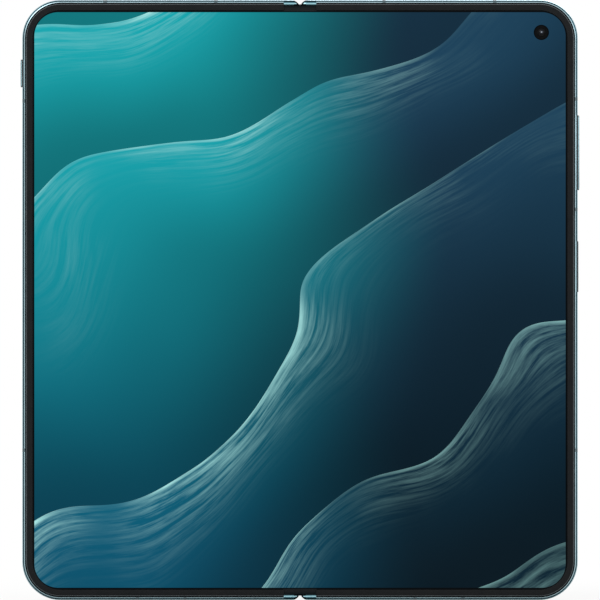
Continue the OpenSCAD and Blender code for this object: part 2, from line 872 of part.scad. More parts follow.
module island_glass() color("#0e1112") difference() {
    disc(island_x, island_z, island_seat_r - 2 * slip, island_out - island_glass_t + slip,
         island_out - slip);
    for (a = lens_angles)
        disc(island_x + lens_ring_r * cos(a), island_z + lens_ring_r * sin(a), lens_r + slip,
             0, island_out + 1);
    at_flash(flash_r + 0.03 + slip, 0, island_out + 1);
}

module at_lenses() {
    for (a = lens_angles)
        translate([island_x + lens_ring_r * cos(a), y0, island_z + lens_ring_r * sin(a)])
            rotate([-90, 0, 0]) children();
}

lens_v2 = body_t + island_h;

module lens_rings() color("#8a9498") at_lenses() difference() {
    union() {
        translate([0, 0, island_out - island_glass_t]) cylinder(r = lens_r, h = island_glass_t + 0.2);
        translate([0, 0, island_out + 0.2 - eps])
            cylinder(r1 = lens_r, r2 = lens_r - 0.35, h = lens_v2 - island_out - 0.2 + eps);
    }
    translate([0, 0, island_out - 2]) cylinder(r = lens_hole_r, h = 3);
}

module lens_glasses() color("#0a0d12") at_lenses()
    translate([0, 0, lens_v2 - 0.75]) cylinder(r = lens_hole_r - 0.03, h = 0.6);

module camera_modules() color("#1c1f21") at_lenses() {
    translate([-camera_half, -camera_half, camera_v1])
        cube([2 * camera_half, 2 * camera_half, glass_v1 - camera_v1 - 0.1]);
    translate([0, 0, glass_v1 - 0.2]) cylinder(r = camera_half, h = lens_v2 - 0.6 - glass_v1);
}

module flash_window() color("#e9e4cf")
    at_flash(flash_r, island_out - 1.2, island_out - 0.02);

module cover_glass() color("#0b1416") other_half() slab(glass_v1, body_t)
    outline(glass_in, glass_x);

cover_cam_x = island_x;
cover_cam_down = 7.4;

module cover_display() color("#12333b") other_half() slab(glass_v1 - 0.7, glass_v1 - 0.02) difference() {
    outline(glass_in + 1.3, pocket_x + pocket_wall + 0.4);
    translate([cover_cam_x, body_h - cover_cam_down]) circle(2);
}

module cover_camera() color("#15181a") other_half() {
    disc(cover_cam_x, body_h - cover_cam_down, 1.9, 2.4, glass_v1 - 0.05);
    slab(web_v2 + 0.05, 2.4 + eps) translate([cover_cam_x - 2.9, body_h - cover_cam_down - 2.9])
        square(5.8);
}

// ---------- controls ----------
flange = 0.38;

module side_key(z, l, out) {
    key_slot(z, l, key_w, half_w - wall_t - 0.2, half_w + out - 0.25);
    intersection() {
        key_slot(z, l, key_w, half_w - wall_t, half_w + out);
        hull() {
            block([half_w, key_v - key_w / 2, z - l / 2], [half_w + eps, key_v + key_w / 2, z + l / 2]);
            block([half_w, key_v - key_w / 2 + 0.25, z - l / 2 + 0.35],
                  [half_w + out, key_v + key_w / 2 - 0.25, z + l / 2 - 0.35]);
        }
    }
    block([half_w - wall_t - key_flange, key_v - key_w / 2 - flange, z - l / 2 - 0.3],
          [half_w - wall_t - 0.3, key_v + key_w / 2 + flange, z + l / 2 + 0.3]);
    block([half_w - wall_t - 0.4, key_v - key_w / 2 + 0.1, z - l / 2 + key_w / 2],
          [half_w - wall_t + 0.1, key_v + key_w / 2 - 0.1, z + l / 2 - key_w / 2]);
}

module volume_rocker() color("#7f9a9f") side_key(volume_z, volume_l, volume_out);
module power_button() color("#7f9a9f") side_key(power_z, power_l, power_out);
module alert_slider() color("#7f9a9f") other_half() side_key(slider_z, slider_l, slider_out);

switch_x = half_w - wall_t - key_flange - 0.35;

module key_switches() color("#b08d4a") {
    block([switch_x - 1.2, key_v - 1.2, power_z - 8], [switch_x - 0.8, key_v + 1.2, volume_z + 11]);
    for (z = [power_z, volume_z - 6, volume_z + 6])
        block([switch_x - 0.9, key_v - 1, z - 1.5], [switch_x, key_v + 1, z + 1.5]);
}

module slider_switch() color("#1f2224") other_half()
    block([slider_x, key_v - 1.3, slider_z - 4],
          [half_w - wall_t - key_flange - 0.3, key_v + 1.3, slider_z + 4]);

module sim_tray() color("#7f9a9f") {
    block([tray_x - tray_w / 2, tray_v - tray_face_h / 2, 0],
          [tray_x + tray_w / 2, tray_v + tray_face_h / 2, tray_face_t]);
    difference() {
        block([tray_x - tray_w / 2 + 0.5, tray_v - tray_t / 2, tray_face_t - eps],
              [tray_x + tray_w / 2 - 0.5, tray_v + tray_t / 2, tray_l]);
        block([tray_x - tray_w / 2 + 1.2, tray_v - tray_t / 2 + 0.3, 2.4],
              [tray_x + tray_w / 2 - 1.2, tray_v + tray_t, tray_l - 0.9]);
    }
}

module sim_socket() color("#aab0b2") difference() {
    block([tray_x - tray_w / 2 - 0.5, tray_v - 1.25, wall_t + 1.2],
          [tray_x + tray_w / 2 + 0.5, tray_v + 1.25, tray_l + 1.6]);
    block([tray_x - tray_w / 2 + 0.4, tray_v - tray_t / 2 - 0.1, 0],
          [tray_x + tray_w / 2 - 0.4, tray_v + tray_t / 2 + 0.1, tray_l + 0.5]);
}

// ---------- electronics ----------
module rounded_plate(x1, z1, x2, z2, r) {
    translate([x1 + r, z1]) square([x2 - x1 - 2 * r, z2 - z1]);
    translate([x1, z1 + r]) square([x2 - x1, z2 - z1 - 2 * r]);
    for (x = [x1 + r, x2 - r], z = [z1 + r, z2 - r]) translate([x, z]) circle(r);
}

module main_board() color("#1d5a3c") slab(board_v, board_v + board_t) difference() {
    rounded_plate(board_x1, board_z1, board_x2, board_z2, 1.5);
    for (p = screw_places) translate(p) circle(0.6);
    translate([punch_x, punch_z]) circle(4.3);
    translate([board_x2 + 1, body_h]) circle(corner_r);
}

// Places of the shield cans, in shares of the main board's width and height
shield_shares = [[0.11, 0.11, 0.4, 0.63], [0.455, 0.11, 0.87, 0.37], [0.455, 0.425, 0.87, 0.74]];
shield_corner = 0.5;

module board_shields() color("#b4b8ba") {
    slab(board_v - shield_t, board_v) for (c = shield_shares)
        rounded_plate(board_x1 + c[0] * (board_x2 - board_x1), board_z1 + c[1] * (board_z2 - board_z1),
                      board_x1 + c[2] * (board_x2 - board_x1), board_z1 + c[3] * (board_z2 - board_z1),
                      shield_corner);
}

module board_screws() color("#6d7173") for (p = screw_places) {
    disc(p[0], p[1], 1, board_v + board_t, board_v + board_t + 0.3);
    disc(p[0], p[1], 0.45, web_v2 + 0.1, board_v + board_t + eps);
}

module right_battery() color("#33383b")
    slab(battery_v, battery_v + battery_t)
        rounded_plate(battery_x - battery_w / 2, battery_z + 8, battery_x + battery_w / 2,
                      battery_z + 8 + battery_h, 1);

module left_battery() color("#33383b") other_half()
    slab(battery_v, battery_v + battery_t - 0.4)
        rounded_plate(battery_x - battery_w / 2, left_battery_z,
                      battery_x + battery_w / 2, left_board_z1 - 5.4, 1);

coil_z = battery_z + 8 + battery_h / 2;
coil_r = battery_w / 2 - 2;
coil_turns = 8;
coil_pitch = 1.2;
coil_wire = 1;

module charging_coil() color("#b0703a") slab(battery_v + battery_t + 0.05, glass_v1 - 0.05)
    translate([battery_x, coil_z]) for (i = [0:coil_turns - 1]) difference() {
        circle(coil_r - i * coil_pitch);
        circle(coil_r - i * coil_pitch - coil_wire);
    }

module left_board() color("#1d5a3c") other_half() slab(board_v, board_v + board_t) difference() {
    rounded_plate(board_x1, left_board_z1, left_board_x2, left_board_z2, 1.5);
    translate([cover_cam_x - 5, left_board_z2 - 4]) square([10, 10]);
}

module left_board_shields() color("#b4b8ba") other_half() slab(board_v - shield_t, board_v) {
    rounded_plate(board_x1 + 4, left_board_z1 + 4, cover_cam_x - 6, left_board_z2 - 6, shield_corner);
    rounded_plate(cover_cam_x + 8, left_board_z1 + 4, left_board_x2 - 4, left_board_z2 - 6, shield_corner);
}

module earpiece_speaker() color("#24282a") other_half()
    slab(web_v2 + 0.05, glass_v1 - 0.85) {
        rounded_plate(board_x1 + 4, left_board_z2 + 1, cover_cam_x - 4, body_h - wall_t - 0.3, 0.8);
        rounded_plate(cover_cam_x + 4, left_board_z2 + 1, half_w - 13, body_h - wall_t - 0.3, 0.8);
    }

module usb_port() color("#9fa4a6") {
    difference() {
        run(0.4, usb_l) usb_outline(0);
        run(0, usb_l - 0.6) usb_outline(-0.3);
    }
    block([usb_x - 3.35, usb_v - 0.35, 1.2], [usb_x + 3.35, usb_v + 0.35, usb_l - 0.5]);
}

module loudspeaker() color("#24282a") slab(web_v2 + 0.05, glass_v1 - 0.1)
    rounded_plate(speaker_x - speaker_half, wall_t + 0.2, speaker_x + speaker_half, battery_z - 9, 1.2);

module vibration_motor() color("#a6abad") slab(1.75, 4.9)
    rounded_plate(usb_x - 5.5, battery_z - 16, usb_x + 5.5, battery_z - 2, 1);

module inner_camera() color("#15181a") difference() {
    union() {
        disc(punch_x, punch_z, 1.75, display_v1 + 0.1, web_v2 + 0.4);
        disc(punch_x, punch_z, 2.7, display_v2 + 0.05, 4.3);
    }
    disc(punch_x, punch_z, 1.1, 0, display_v1 + 0.35);
}

module inner_camera_lens() color("#05070a")
    disc(punch_x, punch_z, 1.05, display_v1 + 0.15, display_v1 + 0.34);

module magnets() {
    for (z = magnet_places)
        block([magnet_x, web_v2 + slip, z - magnet_l / 2],
              [magnet_x + magnet_w, web_v2 + slip + magnet_t, z + magnet_l / 2]);
}

module right_magnets() color("#c2c6c8") magnets();
module left_magnets() color("#c2c6c8") other_half() magnets();

right_frame();
right_antenna_bands();
right_bezel();
display_right();
right_support_plate();
back_glass();
island_base();
island_glass();
lens_rings();
lens_glasses();
camera_modules();
flash_window();
main_board();
board_shields();
board_screws();
right_battery();
charging_coil();
usb_port();
loudspeaker();
vibration_motor();
inner_camera();
inner_camera_lens();
key_switches();
sim_socket();
right_magnets();
right_swing_arms();
right_hinge_screws();
left_frame();
left_antenna_bands();
left_bezel();
display_left();
left_support_plate();
cover_glass();
cover_display();
cover_camera();
left_battery();
left_board();
left_board_shields();
earpiece_speaker();
slider_switch();
left_magnets();
left_swing_arms();
left_hinge_screws();
hinge_spine();
spine_end_caps();
hinge_bases();
hinge_base_screws();
friction_washers();
display_fold();
right_wing_plate();
left_wing_plate();
right_idler_gears();
left_idler_gears();
volume_rocker();
power_button();
alert_slider();
sim_tray();
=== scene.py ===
"""Foldable smartphone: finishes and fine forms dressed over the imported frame.

Lengths are in millimetres until they are multiplied by MM. X runs across the open screen, Z runs up, and
the inner screen faces -Y. A depth is counted from the front rim towards the back glass.
"""
import math

import bmesh
import bpy
import numpy as np
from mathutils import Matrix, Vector


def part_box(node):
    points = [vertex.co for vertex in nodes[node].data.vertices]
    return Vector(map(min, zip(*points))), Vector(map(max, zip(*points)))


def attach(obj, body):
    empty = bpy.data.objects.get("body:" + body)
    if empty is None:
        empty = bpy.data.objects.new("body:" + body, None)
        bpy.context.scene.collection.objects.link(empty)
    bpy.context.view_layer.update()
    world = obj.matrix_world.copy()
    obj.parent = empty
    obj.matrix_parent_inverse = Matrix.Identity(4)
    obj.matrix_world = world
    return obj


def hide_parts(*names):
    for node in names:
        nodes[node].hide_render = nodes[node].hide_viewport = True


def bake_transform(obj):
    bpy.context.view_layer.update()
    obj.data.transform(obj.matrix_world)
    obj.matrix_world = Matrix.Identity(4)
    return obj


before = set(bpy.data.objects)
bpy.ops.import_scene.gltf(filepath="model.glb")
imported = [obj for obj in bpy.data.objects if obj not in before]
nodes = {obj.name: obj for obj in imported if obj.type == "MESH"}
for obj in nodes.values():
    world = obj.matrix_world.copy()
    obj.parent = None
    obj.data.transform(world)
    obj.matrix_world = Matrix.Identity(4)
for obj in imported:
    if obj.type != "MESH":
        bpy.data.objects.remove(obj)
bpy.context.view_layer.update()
MM = 0.001


def extent(node):
    """Lowest and highest corner of a CAD node in millimetres."""
    low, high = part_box(node)
    return np.array(low) / MM, np.array(high) / MM


# ---------- driving sizes, read from the frame ----------
RIM_LOW, RIM_HIGH = extent("right_frame")
FRONT = RIM_LOW[1]
HALF_W = RIM_HIGH[0]
BODY_H = RIM_HIGH[2]
CORNER_R = 9.8
BEZEL_LOW, BEZEL_HIGH = extent("right_bezel")
BEZEL_IN = HALF_W - BEZEL_HIGH[0]
BEZEL_W = 1.75
BEZEL_T = BEZEL_HIGH[1] - FRONT
BEND_LOW, BEND_HIGH = extent("display_fold")
BEND_X = BEND_HIGH[0]
LENS_LOW, LENS_HIGH = extent("inner_camera_lens")
PUNCH = (LENS_LOW + LENS_HIGH) / 2
ISLAND_LOW, ISLAND_HIGH = extent("island_base")
ISLAND = (ISLAND_LOW + ISLAND_HIGH) / 2
LENS_RING_R = 12.4
*LENS_AT, FLASH_AT = [(ISLAND[0] + LENS_RING_R * math.cos(turn), ISLAND[2] + LENS_RING_R * math.sin(turn))
                      for turn in np.radians((135, 45, 225, -45))]


def depth(v):
    """Y of a depth behind the front rim, in millimetres."""
    return FRONT + v


# ---------- camera ----------
LENS_MM = 800
SENSOR_MM = 36
VIEW_CUT = 0.04
VIEW_H = BODY_H - VIEW_CUT
camera_data = bpy.data.cameras.new("front_camera")
camera_data.lens = LENS_MM
camera_data.sensor_width = SENSOR_MM
camera_data.clip_start = 0.01
camera_data.clip_end = 50
camera = bpy.data.objects.new("front_camera", camera_data)
bpy.context.scene.collection.objects.link(camera)
stand_off = VIEW_H * LENS_MM / SENSOR_MM
camera.location = Vector((0, FRONT - stand_off, BODY_H / 2)) * MM
camera.rotation_euler = (math.pi / 2, 0, 0)
bpy.context.scene.camera = camera


# ---------- colours and nodes ----------
# Where most of a noise lies, and the setting that is the main choice of a kind of node
NOISE_SPAN = (0.25, 0.75)
CHOICE = {"Math": "operation", "VectorMath": "operation", "Mix": "data_type",
          "MapRange": "interpolation_type"}


def shade(code):
    """Linear colour of an sRGB hex code."""
    channels = np.array([int(code[i:i + 2], 16) for i in (1, 3, 5)]) / 255
    linear = np.where(channels <= 0.04045, channels / 12.92, ((channels + 0.055) / 1.055) ** 2.4)
    return (*linear.tolist(), 1.0)


def plug(node, inputs):
    """Sets a node's inputs to plain values, or links them to sockets or to other nodes' first open output.

    A hex code is a colour, and a pair under From or To sets the two ends of a range.
    """
    for span in {"From", "To"} & inputs.keys():
        low, high = inputs.pop(span)
        inputs.update({span + " Min": low, span + " Max": high})
    for key, value in inputs.items():
        if isinstance(value, str):
            value = shade(value)
        if isinstance(value, bpy.types.Node):
            value = next(socket for socket in value.outputs if socket.enabled)
        if isinstance(value, bpy.types.NodeSocket):
            node.id_data.links.new(value, node.inputs[key])
        else:
            node.inputs[key].default_value = value


def wire(tree, kind, inputs=None, **settings):
    """Adds one shader node with its settings, and plugs its inputs, given by key or listed in their order.

    A word after a dot in its kind is its main choice.
    """
    kind, _, word = kind.partition(".")
    made = tree.nodes.new("ShaderNode" + kind)
    if word:
        settings[CHOICE[kind]] = word
    for key, value in settings.items():
        setattr(made, key, value)
    plug(made, dict(enumerate(inputs)) if isinstance(inputs, list) else inputs or {})
    return made


def blank(name, **shader):
    """A new material: its node tree, its place in metres, and its one shader with its plain settings."""
    material = bpy.data.materials.new(name)
    material.use_nodes = True
    tree = material.node_tree
    principled = tree.nodes["Principled BSDF"]
    plug(principled, {key.replace("_", " "): value for key, value in shader.items()})
    return material, tree, wire(tree, "TexCoord").outputs["Object"], principled


def banded(tree, value, stops):
    """Colour bands along a value from 0 to 1, given as (position, hex code)."""
    made = wire(tree, "ValToRGB", {"Fac": value})
    ramp = made.color_ramp
    for element, (at, code) in zip(ramp.elements, (stops[0], stops[-1])):
        element.position = at
        element.color = shade(code)
    for at, code in stops[1:-1]:
        ramp.elements.new(at).color = shade(code)
    return made


def grained(name, tone_a, tone_b, drift_mm, grain_mm, relief_mm, rough, rough_drift, stretch=(1, 1, 1),
            **shader):
    """A finish whose colour drifts between two tones over drift_mm, and whose relief is a grain of grain_mm.

    stretch slows the grain down along an axis, which draws it out into brushing lines.
    """
    material, tree, place, principled = blank(name, **shader)
    drawn = wire(tree, "Mapping", {"Vector": place, "Scale": stretch})
    drift = wire(tree, "TexNoise", {"Vector": place, "Scale": 1 / (drift_mm * MM), "Detail": 3})
    grain = wire(tree, "TexNoise", {"Vector": drawn, "Scale": 1 / (grain_mm * MM), "Detail": 4})
    both = wire(tree, "Math.ADD", [drift, grain])
    share = wire(tree, "MapRange", {"Value": both, "From": (0.7, 1.3)})
    tone = wire(tree, "Mix.RGBA", {0: share, 6: tone_a, 7: tone_b})
    dull = wire(tree, "MapRange", {"Value": grain, "From": NOISE_SPAN,
                                   "To": (max(rough - rough_drift, 0.02), rough + rough_drift)})
    relief = wire(tree, "Bump", {"Strength": 0.6, "Distance": relief_mm * MM, "Height": grain})
    plug(principled, {"Base Color": tone, "Roughness": dull, "Normal": relief})
    return material


def turned_finish(name, tone_a, tone_b, centre, pitch_mm, relief_mm, rough, **shader):
    """A lathe-turned finish: fine rings of pitch_mm round a centre in X and Z."""
    material, tree, place, principled = blank(name, **shader)
    apart = wire(tree, "VectorMath.SUBTRACT", [place, (centre[0] * MM, 0, centre[1] * MM)])
    flat = wire(tree, "VectorMath.MULTIPLY", [apart, (1, 0, 1)])
    radius = wire(tree, "VectorMath.LENGTH", [flat])
    turns = wire(tree, "Math.MULTIPLY", [radius, 2 * math.pi / (pitch_mm * MM)])
    groove = wire(tree, "Math.SINE", [turns])
    drift = wire(tree, "TexNoise", {"Vector": place, "Scale": 1 / (3 * MM), "Detail": 3})
    mixed = wire(tree, "Math.MULTIPLY_ADD", [groove, 0.25, drift])
    share = wire(tree, "MapRange", {"Value": mixed, "From": (0.2, 0.8)})
    tone = wire(tree, "Mix.RGBA", {0: share, 6: tone_a, 7: tone_b})
    dull = wire(tree, "MapRange", {"Value": mixed, "To": (max(rough - 0.06, 0.02), rough + 0.06)})
    relief = wire(tree, "Bump", {"Strength": 0.5, "Distance": relief_mm * MM, "Height": groove})
    plug(principled, {"Base Color": tone, "Roughness": dull, "Normal": relief})
    return material


def flat_place(tree, centre=(0, 0)):
    """Millimetres in X and Z from a centre, with the depth dropped."""
    place = wire(tree, "TexCoord").outputs["Object"]
    return wire(tree, "Mapping", {"Vector": place, "Location": (-centre[0], 0, -centre[1]),
                                  "Scale": (1 / MM, 0, 1 / MM)})


def box_inset(tree, half_x, half_z, radius, centre, mirror=False):
    """Distance in millimetres inwards from a rounded rectangle's outline; mirror folds X over the fold first.

    It is the corner radius less the distance to the rectangle shrunk by that radius.
    """
    folded = flat_place(tree, (0, centre[1]))
    if mirror:
        folded = wire(tree, "VectorMath.ABSOLUTE", [folded])
    moved = wire(tree, "VectorMath.SUBTRACT", [folded, (centre[0], 0, 0)])
    folded = wire(tree, "VectorMath.ABSOLUTE", [moved])
    beyond = wire(tree, "VectorMath.SUBTRACT", [folded, (half_x - radius, 0, half_z - radius)])
    corner = wire(tree, "VectorMath.MAXIMUM", [beyond, (0, 0, 0)])
    reach = wire(tree, "VectorMath.LENGTH", [corner])
    return wire(tree, "Math.SUBTRACT", [radius, reach])


# ---------- finishes ----------
# The frame's painted bands: their outline at the fold, their last inset, their depth, and the painted shade
# and painted highlight tones that they share
FOLD_GAP = 0.05
FOLD_R = 2.0
BAND_REACH = 1.5
CUT_DEPTH = 1.0
SEAM_SHADE = "#050c0f"
CORNER_SHADE = "#020c10"
FOLD_FLAT = "#436d79"
FOLD_LIP_HIGHLIGHT = "#abd9e4"
FOLD_SLOPE = "#5a8089"
# The keys: how far a flange runs past its cap at either end, and how much of root and tip is painted dark as
# shade
KEYS = ("volume_rocker", "power_button", "alert_slider")
KEY_OVER = 0.3
ROOT_OUT = 0.14
TIP = 0.22


def by_keys(tree, over, short=0):
    """One level with a key and on its side, nought elsewhere; it ends short mm inside the cap's two ends."""
    beside = 0
    for key in KEYS:
        low, high = extent(key)
        middle = (low + high) / 2
        reach = (high[2] - low[2]) / 2 - KEY_OVER - short
        level = wire(tree, "Math.COMPARE", [over.outputs["Z"], middle[2], reach])
        side = wire(tree, "Math.COMPARE", [over.outputs["X"], middle[0], HALF_W / 2])
        beside = wire(tree, "Math.MULTIPLY_ADD", [level, side, beside])
    return beside


def rim_finish(name, side, painted_highlight, line, lip, rough, grain_mm, **shader):
    """A frame finish whose front is painted in bands counted inwards from the outline.

    Bright edge, darker line and bright lip are painted highlights and a painted shade line that stand for two
    chamfers with a flat between them. Along the bezel the lip ends in the painted shade of the seam. By the
    fold the painted shade line is deeper and the painted highlight of the lip wider, in two tones, and the
    rounded corner that turns in at the fold is painted dark as shade. Beside each key the edge is painted
    dark as the shadow of its slot, and the line keeps the tone of the side. The walls and the back are plain.
    """
    material, tree, place, principled = blank(name, **shader)
    outer = box_inset(tree, HALF_W, BODY_H / 2, CORNER_R, (0, BODY_H / 2))
    by_fold = box_inset(tree, (HALF_W - FOLD_GAP) / 2, BODY_H / 2, FOLD_R,
                        ((HALF_W + FOLD_GAP) / 2, BODY_H / 2), mirror=True)
    share = wire(tree, "Math.DIVIDE", [outer, BAND_REACH])
    # bright and lip tones are painted highlights; line, seam and corner tones are painted shade
    edge = [(0.01, side), (0.04, painted_highlight), (0.18, painted_highlight)]
    bezel_stops = edge + [(0.22, line), (0.46, line), (0.52, lip), (0.68, lip), (0.72, SEAM_SHADE)]
    fold_stops = edge + [(0.25, CORNER_SHADE), (0.5, CORNER_SHADE), (0.56, FOLD_FLAT), (0.76, FOLD_FLAT),
                         (0.81, FOLD_LIP_HIGHLIGHT), (1.02, FOLD_LIP_HIGHLIGHT), (1.07, FOLD_SLOPE)]
    # beside each key: painted shadow of the key's slot at the edge
    key_stops = [(0.01, side), (0.02, CORNER_SHADE), (0.23, CORNER_SHADE), (0.28, side), (0.44, side),
                 (0.52, lip), (0.66, lip), (0.72, SEAM_SHADE)]
    bands, fold_bands, key_bands = [banded(tree, share, [(at / BAND_REACH, code) for at, code in stops])
                                    for stops in (bezel_stops, fold_stops, key_stops)]
    over = wire(tree, "SeparateXYZ", [flat_place(tree)])
    apart = wire(tree, "Math.ABSOLUTE", [over.outputs["X"]])
    at_fold = wire(tree, "Math.LESS_THAN", [apart, BEZEL_LOW[0]])
    # painted shade: the rounded corner that turns in at the fold is darkened
    turned_in = wire(tree, "Math.SUBTRACT", [outer, by_fold])
    turned_in = wire(tree, "MapRange", {"Value": turned_in, "From": (0.02, 0.1)})
    near = wire(tree, "MapRange", {"Value": by_fold, "From": (0.34, 0.5), "To": (1, 0)})
    corner = wire(tree, "Math.MULTIPLY", [turned_in, near])
    deep = wire(tree, "SeparateXYZ", [place]).outputs["Y"]
    behind = wire(tree, "Math.GREATER_THAN", [deep, depth(CUT_DEPTH) * MM])
    for mask, tone in ((at_fold, fold_bands), (by_keys(tree, over), key_bands), (corner, CORNER_SHADE),
                       (behind, side)):
        bands = wire(tree, "Mix.RGBA", {0: mask, 6: bands, 7: tone})
    grain = wire(tree, "TexNoise", {"Vector": place, "Scale": 1 / (grain_mm * MM), "Detail": 3})
    drift = wire(tree, "TexNoise", {"Vector": place, "Scale": 1 / (9 * MM), "Detail": 2})
    uneven = wire(tree, "MapRange", {"Value": drift, "From": (0.3, 0.7), "To": (0.95, 1.03)})
    tone = wire(tree, "VectorMath.SCALE", {0: bands, 3: uneven})
    dull = wire(tree, "MapRange", {"Value": grain, "From": NOISE_SPAN, "To": (rough - 0.05, rough + 0.05)})
    relief = wire(tree, "Bump", {"Strength": 0.2, "Distance": 0.002 * MM, "Height": grain})
    plug(principled, {"Base Color": tone, "Roughness": dull, "Normal": relief})
    return material


def knurled(name, groove, land, pitch_mm, rough):
    """Metal with a crossed knurl: two sets of slanting grooves leave small pyramids pitch_mm apart."""
    material, tree, place, principled = blank(name, Metallic=1.0, Roughness=rough)
    ridges = []
    for lean in (1, -1):
        mixed = wire(tree, "VectorMath.DOT_PRODUCT", [place, (0, lean, 1)])
        turns = wire(tree, "Math.MULTIPLY", [mixed, 2 * math.pi / (pitch_mm * MM)])
        ridges.append(wire(tree, "Math.SINE", [turns]))
    both = wire(tree, "Math.MINIMUM", [ridges[0], ridges[1]])
    share = wire(tree, "MapRange", {"Value": both, "From": (-1, 0.7)})
    # painted shade: the grooves take the darker tone, besides their bump
    tone = wire(tree, "Mix.RGBA", {0: share, 6: groove, 7: land})
    relief = wire(tree, "Bump", {"Strength": 0.8, "Distance": 0.05 * MM, "Height": both})
    plug(principled, {"Base Color": tone, "Normal": relief})
    return material


def shade_key_root_and_tips(material):
    """Paints shade on a key's root, where it leaves its slot, up to ROOT_OUT beyond the frame, and on its two
    tips.
    """
    tree = material.node_tree
    principled = tree.nodes["Principled BSDF"]
    tone = principled.inputs["Base Color"].links[0].from_socket
    over = wire(tree, "SeparateXYZ", [flat_place(tree)])
    apart = wire(tree, "Math.ABSOLUTE", [over.outputs["X"]])
    out = wire(tree, "Math.GREATER_THAN", [apart, HALF_W + ROOT_OUT])
    root_and_tip_shade = wire(tree, "Math.MULTIPLY", [out, by_keys(tree, over, TIP)])
    mixed = wire(tree, "Mix.RGBA", {0: root_and_tip_shade, 6: CORNER_SHADE, 7: tone})
    plug(principled, {"Base Color": mixed})
    return material


# Bead-blasted, anodised aluminium: silky blue-green sides; on the front, two painted highlight lines with a
# painted shade line between, standing for cut chamfers
anodised = rim_finish("anodised_blasted_aluminium", "#67838c", "#95b6bf", "#15333d", "#a2bcc4", 0.28, 0.12,
                      Metallic=1.0)
# The same alloy polished on the keys: a tighter, brighter highlight than the frame, with painted shade on its
# root and tips
polished_key = shade_key_root_and_tips(grained("anodised_polished_aluminium", "#86a2aa", "#93adb4", 3, 0.1, 0.002, 0.2,
                                 0.05, Metallic=1.0))
# The slider's grip: the same metal with a crossed knurl, its grooves painted darker as shade, and painted
# shade on its root and tips
knurled_key = shade_key_root_and_tips(knurled("knurled_anodised_aluminium", "#7d989f", "#93acb3", 0.32, 0.25))
# Glass-filled resin let into the frame: matt, a shade greyer than the metal, with the same painted highlight
# and shade bands on its front
band_resin = rim_finish("antenna_band_resin", "#4f6168", "#6b7f85", "#34474d", "#60747a", 0.5, 0.15,
                        Specular_IOR_Level=0.3)
# Soft-touch polycarbonate strip round the screen: nearly black with a fine satin pebble
bezel_satin = grained("bezel_satin_polycarbonate", "#16181a", "#1b1c1d", 2.5, 0.09, 0.003, 0.42, 0.08,
                      Specular_IOR_Level=0.08)
# The strip's outer shoulder: a lighter grey that is a painted highlight of its rounding, a thin line round
# the screen
shoulder_highlight = grained("polycarbonate_shoulder_highlight", "#4e5356", "#5c6164", 4, 0.1, 0.002, 0.3, 0.06,
                          Specular_IOR_Level=0.2)
# Adhesive gasket in the gap between frame and bezel: near-black rubber whose tone is painted shade of the
# seam, sunk in a shallow hollow
seam_shade_rubber = grained("gasket_seam_shade_rubber", "#080b0d", "#0d1113", 1, 0.1, 0.004, 0.7, 0.1,
                        Specular_IOR_Level=0.05)
# Rolled stainless sheet: brushed along the phone's height
rolled_steel = grained("rolled_stainless_sheet", "#8d9295", "#a5aaad", 5, 0.15, 0.003, 0.32, 0.1,
                       stretch=(1, 1, 0.04), Metallic=1.0)
# Acid-etched glass over a green coat: a velvety, fingerprint-free back with a slow sheen
etched_glass = grained("acid_etched_back_glass", "#12302f", "#1a3f3d", 9, 0.08, 0.003, 0.36, 0.05,
                       Coat_Weight=0.35, Coat_Roughness=0.28, Sheen_Weight=0.15)
# Sintered hinge steel: slightly porous and dull
sintered = grained("sintered_hinge_steel", "#6f7477", "#85898b", 2, 0.06, 0.005, 0.45, 0.1, Metallic=1.0)
# Hardened, ground steel on gears and washers: bright, with fine grinding lines
ground_steel = grained("ground_spring_steel", "#9ea2a4", "#b7babb", 1.5, 0.05, 0.002, 0.25, 0.08,
                       stretch=(1, 1, 0.1), Metallic=1.0)
# Blackened screw steel: dark grey, with a dull glint on each head
black_screw = grained("blackened_screw_steel", "#3c3f41", "#515456", 0.8, 0.05, 0.003, 0.38, 0.1,
                      Metallic=1.0)
# Anodised spine cover: the frame's blue-green, brushed in long lines along the fold
spine_metal = grained("anodised_brushed_spine", "#7a8f96", "#859aa1", 30, 0.16, 0.002, 0.28, 0.05,
                      stretch=(1, 1, 0.02), Metallic=1.0)
# Moulded polymer of speakers, slider switch and end caps: black with a pebbled, half-matt skin
moulded = grained("moulded_black_polymer", "#0f1112", "#17191a", 1.5, 0.1, 0.006, 0.5, 0.1,
                  Specular_IOR_Level=0.15)
# Pressed nickel-silver shield cans and sockets: pale, with faint streaks along the height
pressed_nickel = grained("pressed_nickel_silver", "#a4a7a4", "#bcbdb8", 4, 0.2, 0.004, 0.3, 0.1,
                         stretch=(1, 1, 0.15), Metallic=1.0)
# Nickel-plated magnets: the smoothest and brightest metal inside
plated_magnet = grained("nickel_plated_magnet", "#b3b6b8", "#c6c8c9", 2, 0.1, 0.002, 0.16, 0.06, Metallic=1.0)
# Laminated pouch foil: black, creased in soft folds
pouch_foil = grained("battery_pouch_foil", "#202426", "#2d3234", 8, 1.8, 0.05, 0.35, 0.12, Coat_Weight=0.2)
# Contact brass on the key switches: warm yellow, softly shining
switch_brass = grained("contact_brass", "#b08a45", "#c59f5a", 1, 0.06, 0.002, 0.28, 0.08, Metallic=1.0)
# Black gloss glass over the cameras: deep, with a trace of blue
island_black = grained("camera_cover_black_glass", "#050709", "#090c0f", 12, 0.5, 0.0003, 0.05, 0.02,
                       Specular_IOR_Level=0.3)
# Black-anodised lens barrels: turned terraces that catch a thin grey line on each edge
barrel_black = grained("barrel_black_anodise", "#101214", "#1a1d1f", 0.5, 0.05, 0.002, 0.32, 0.08,
                       Specular_IOR_Level=0.5)
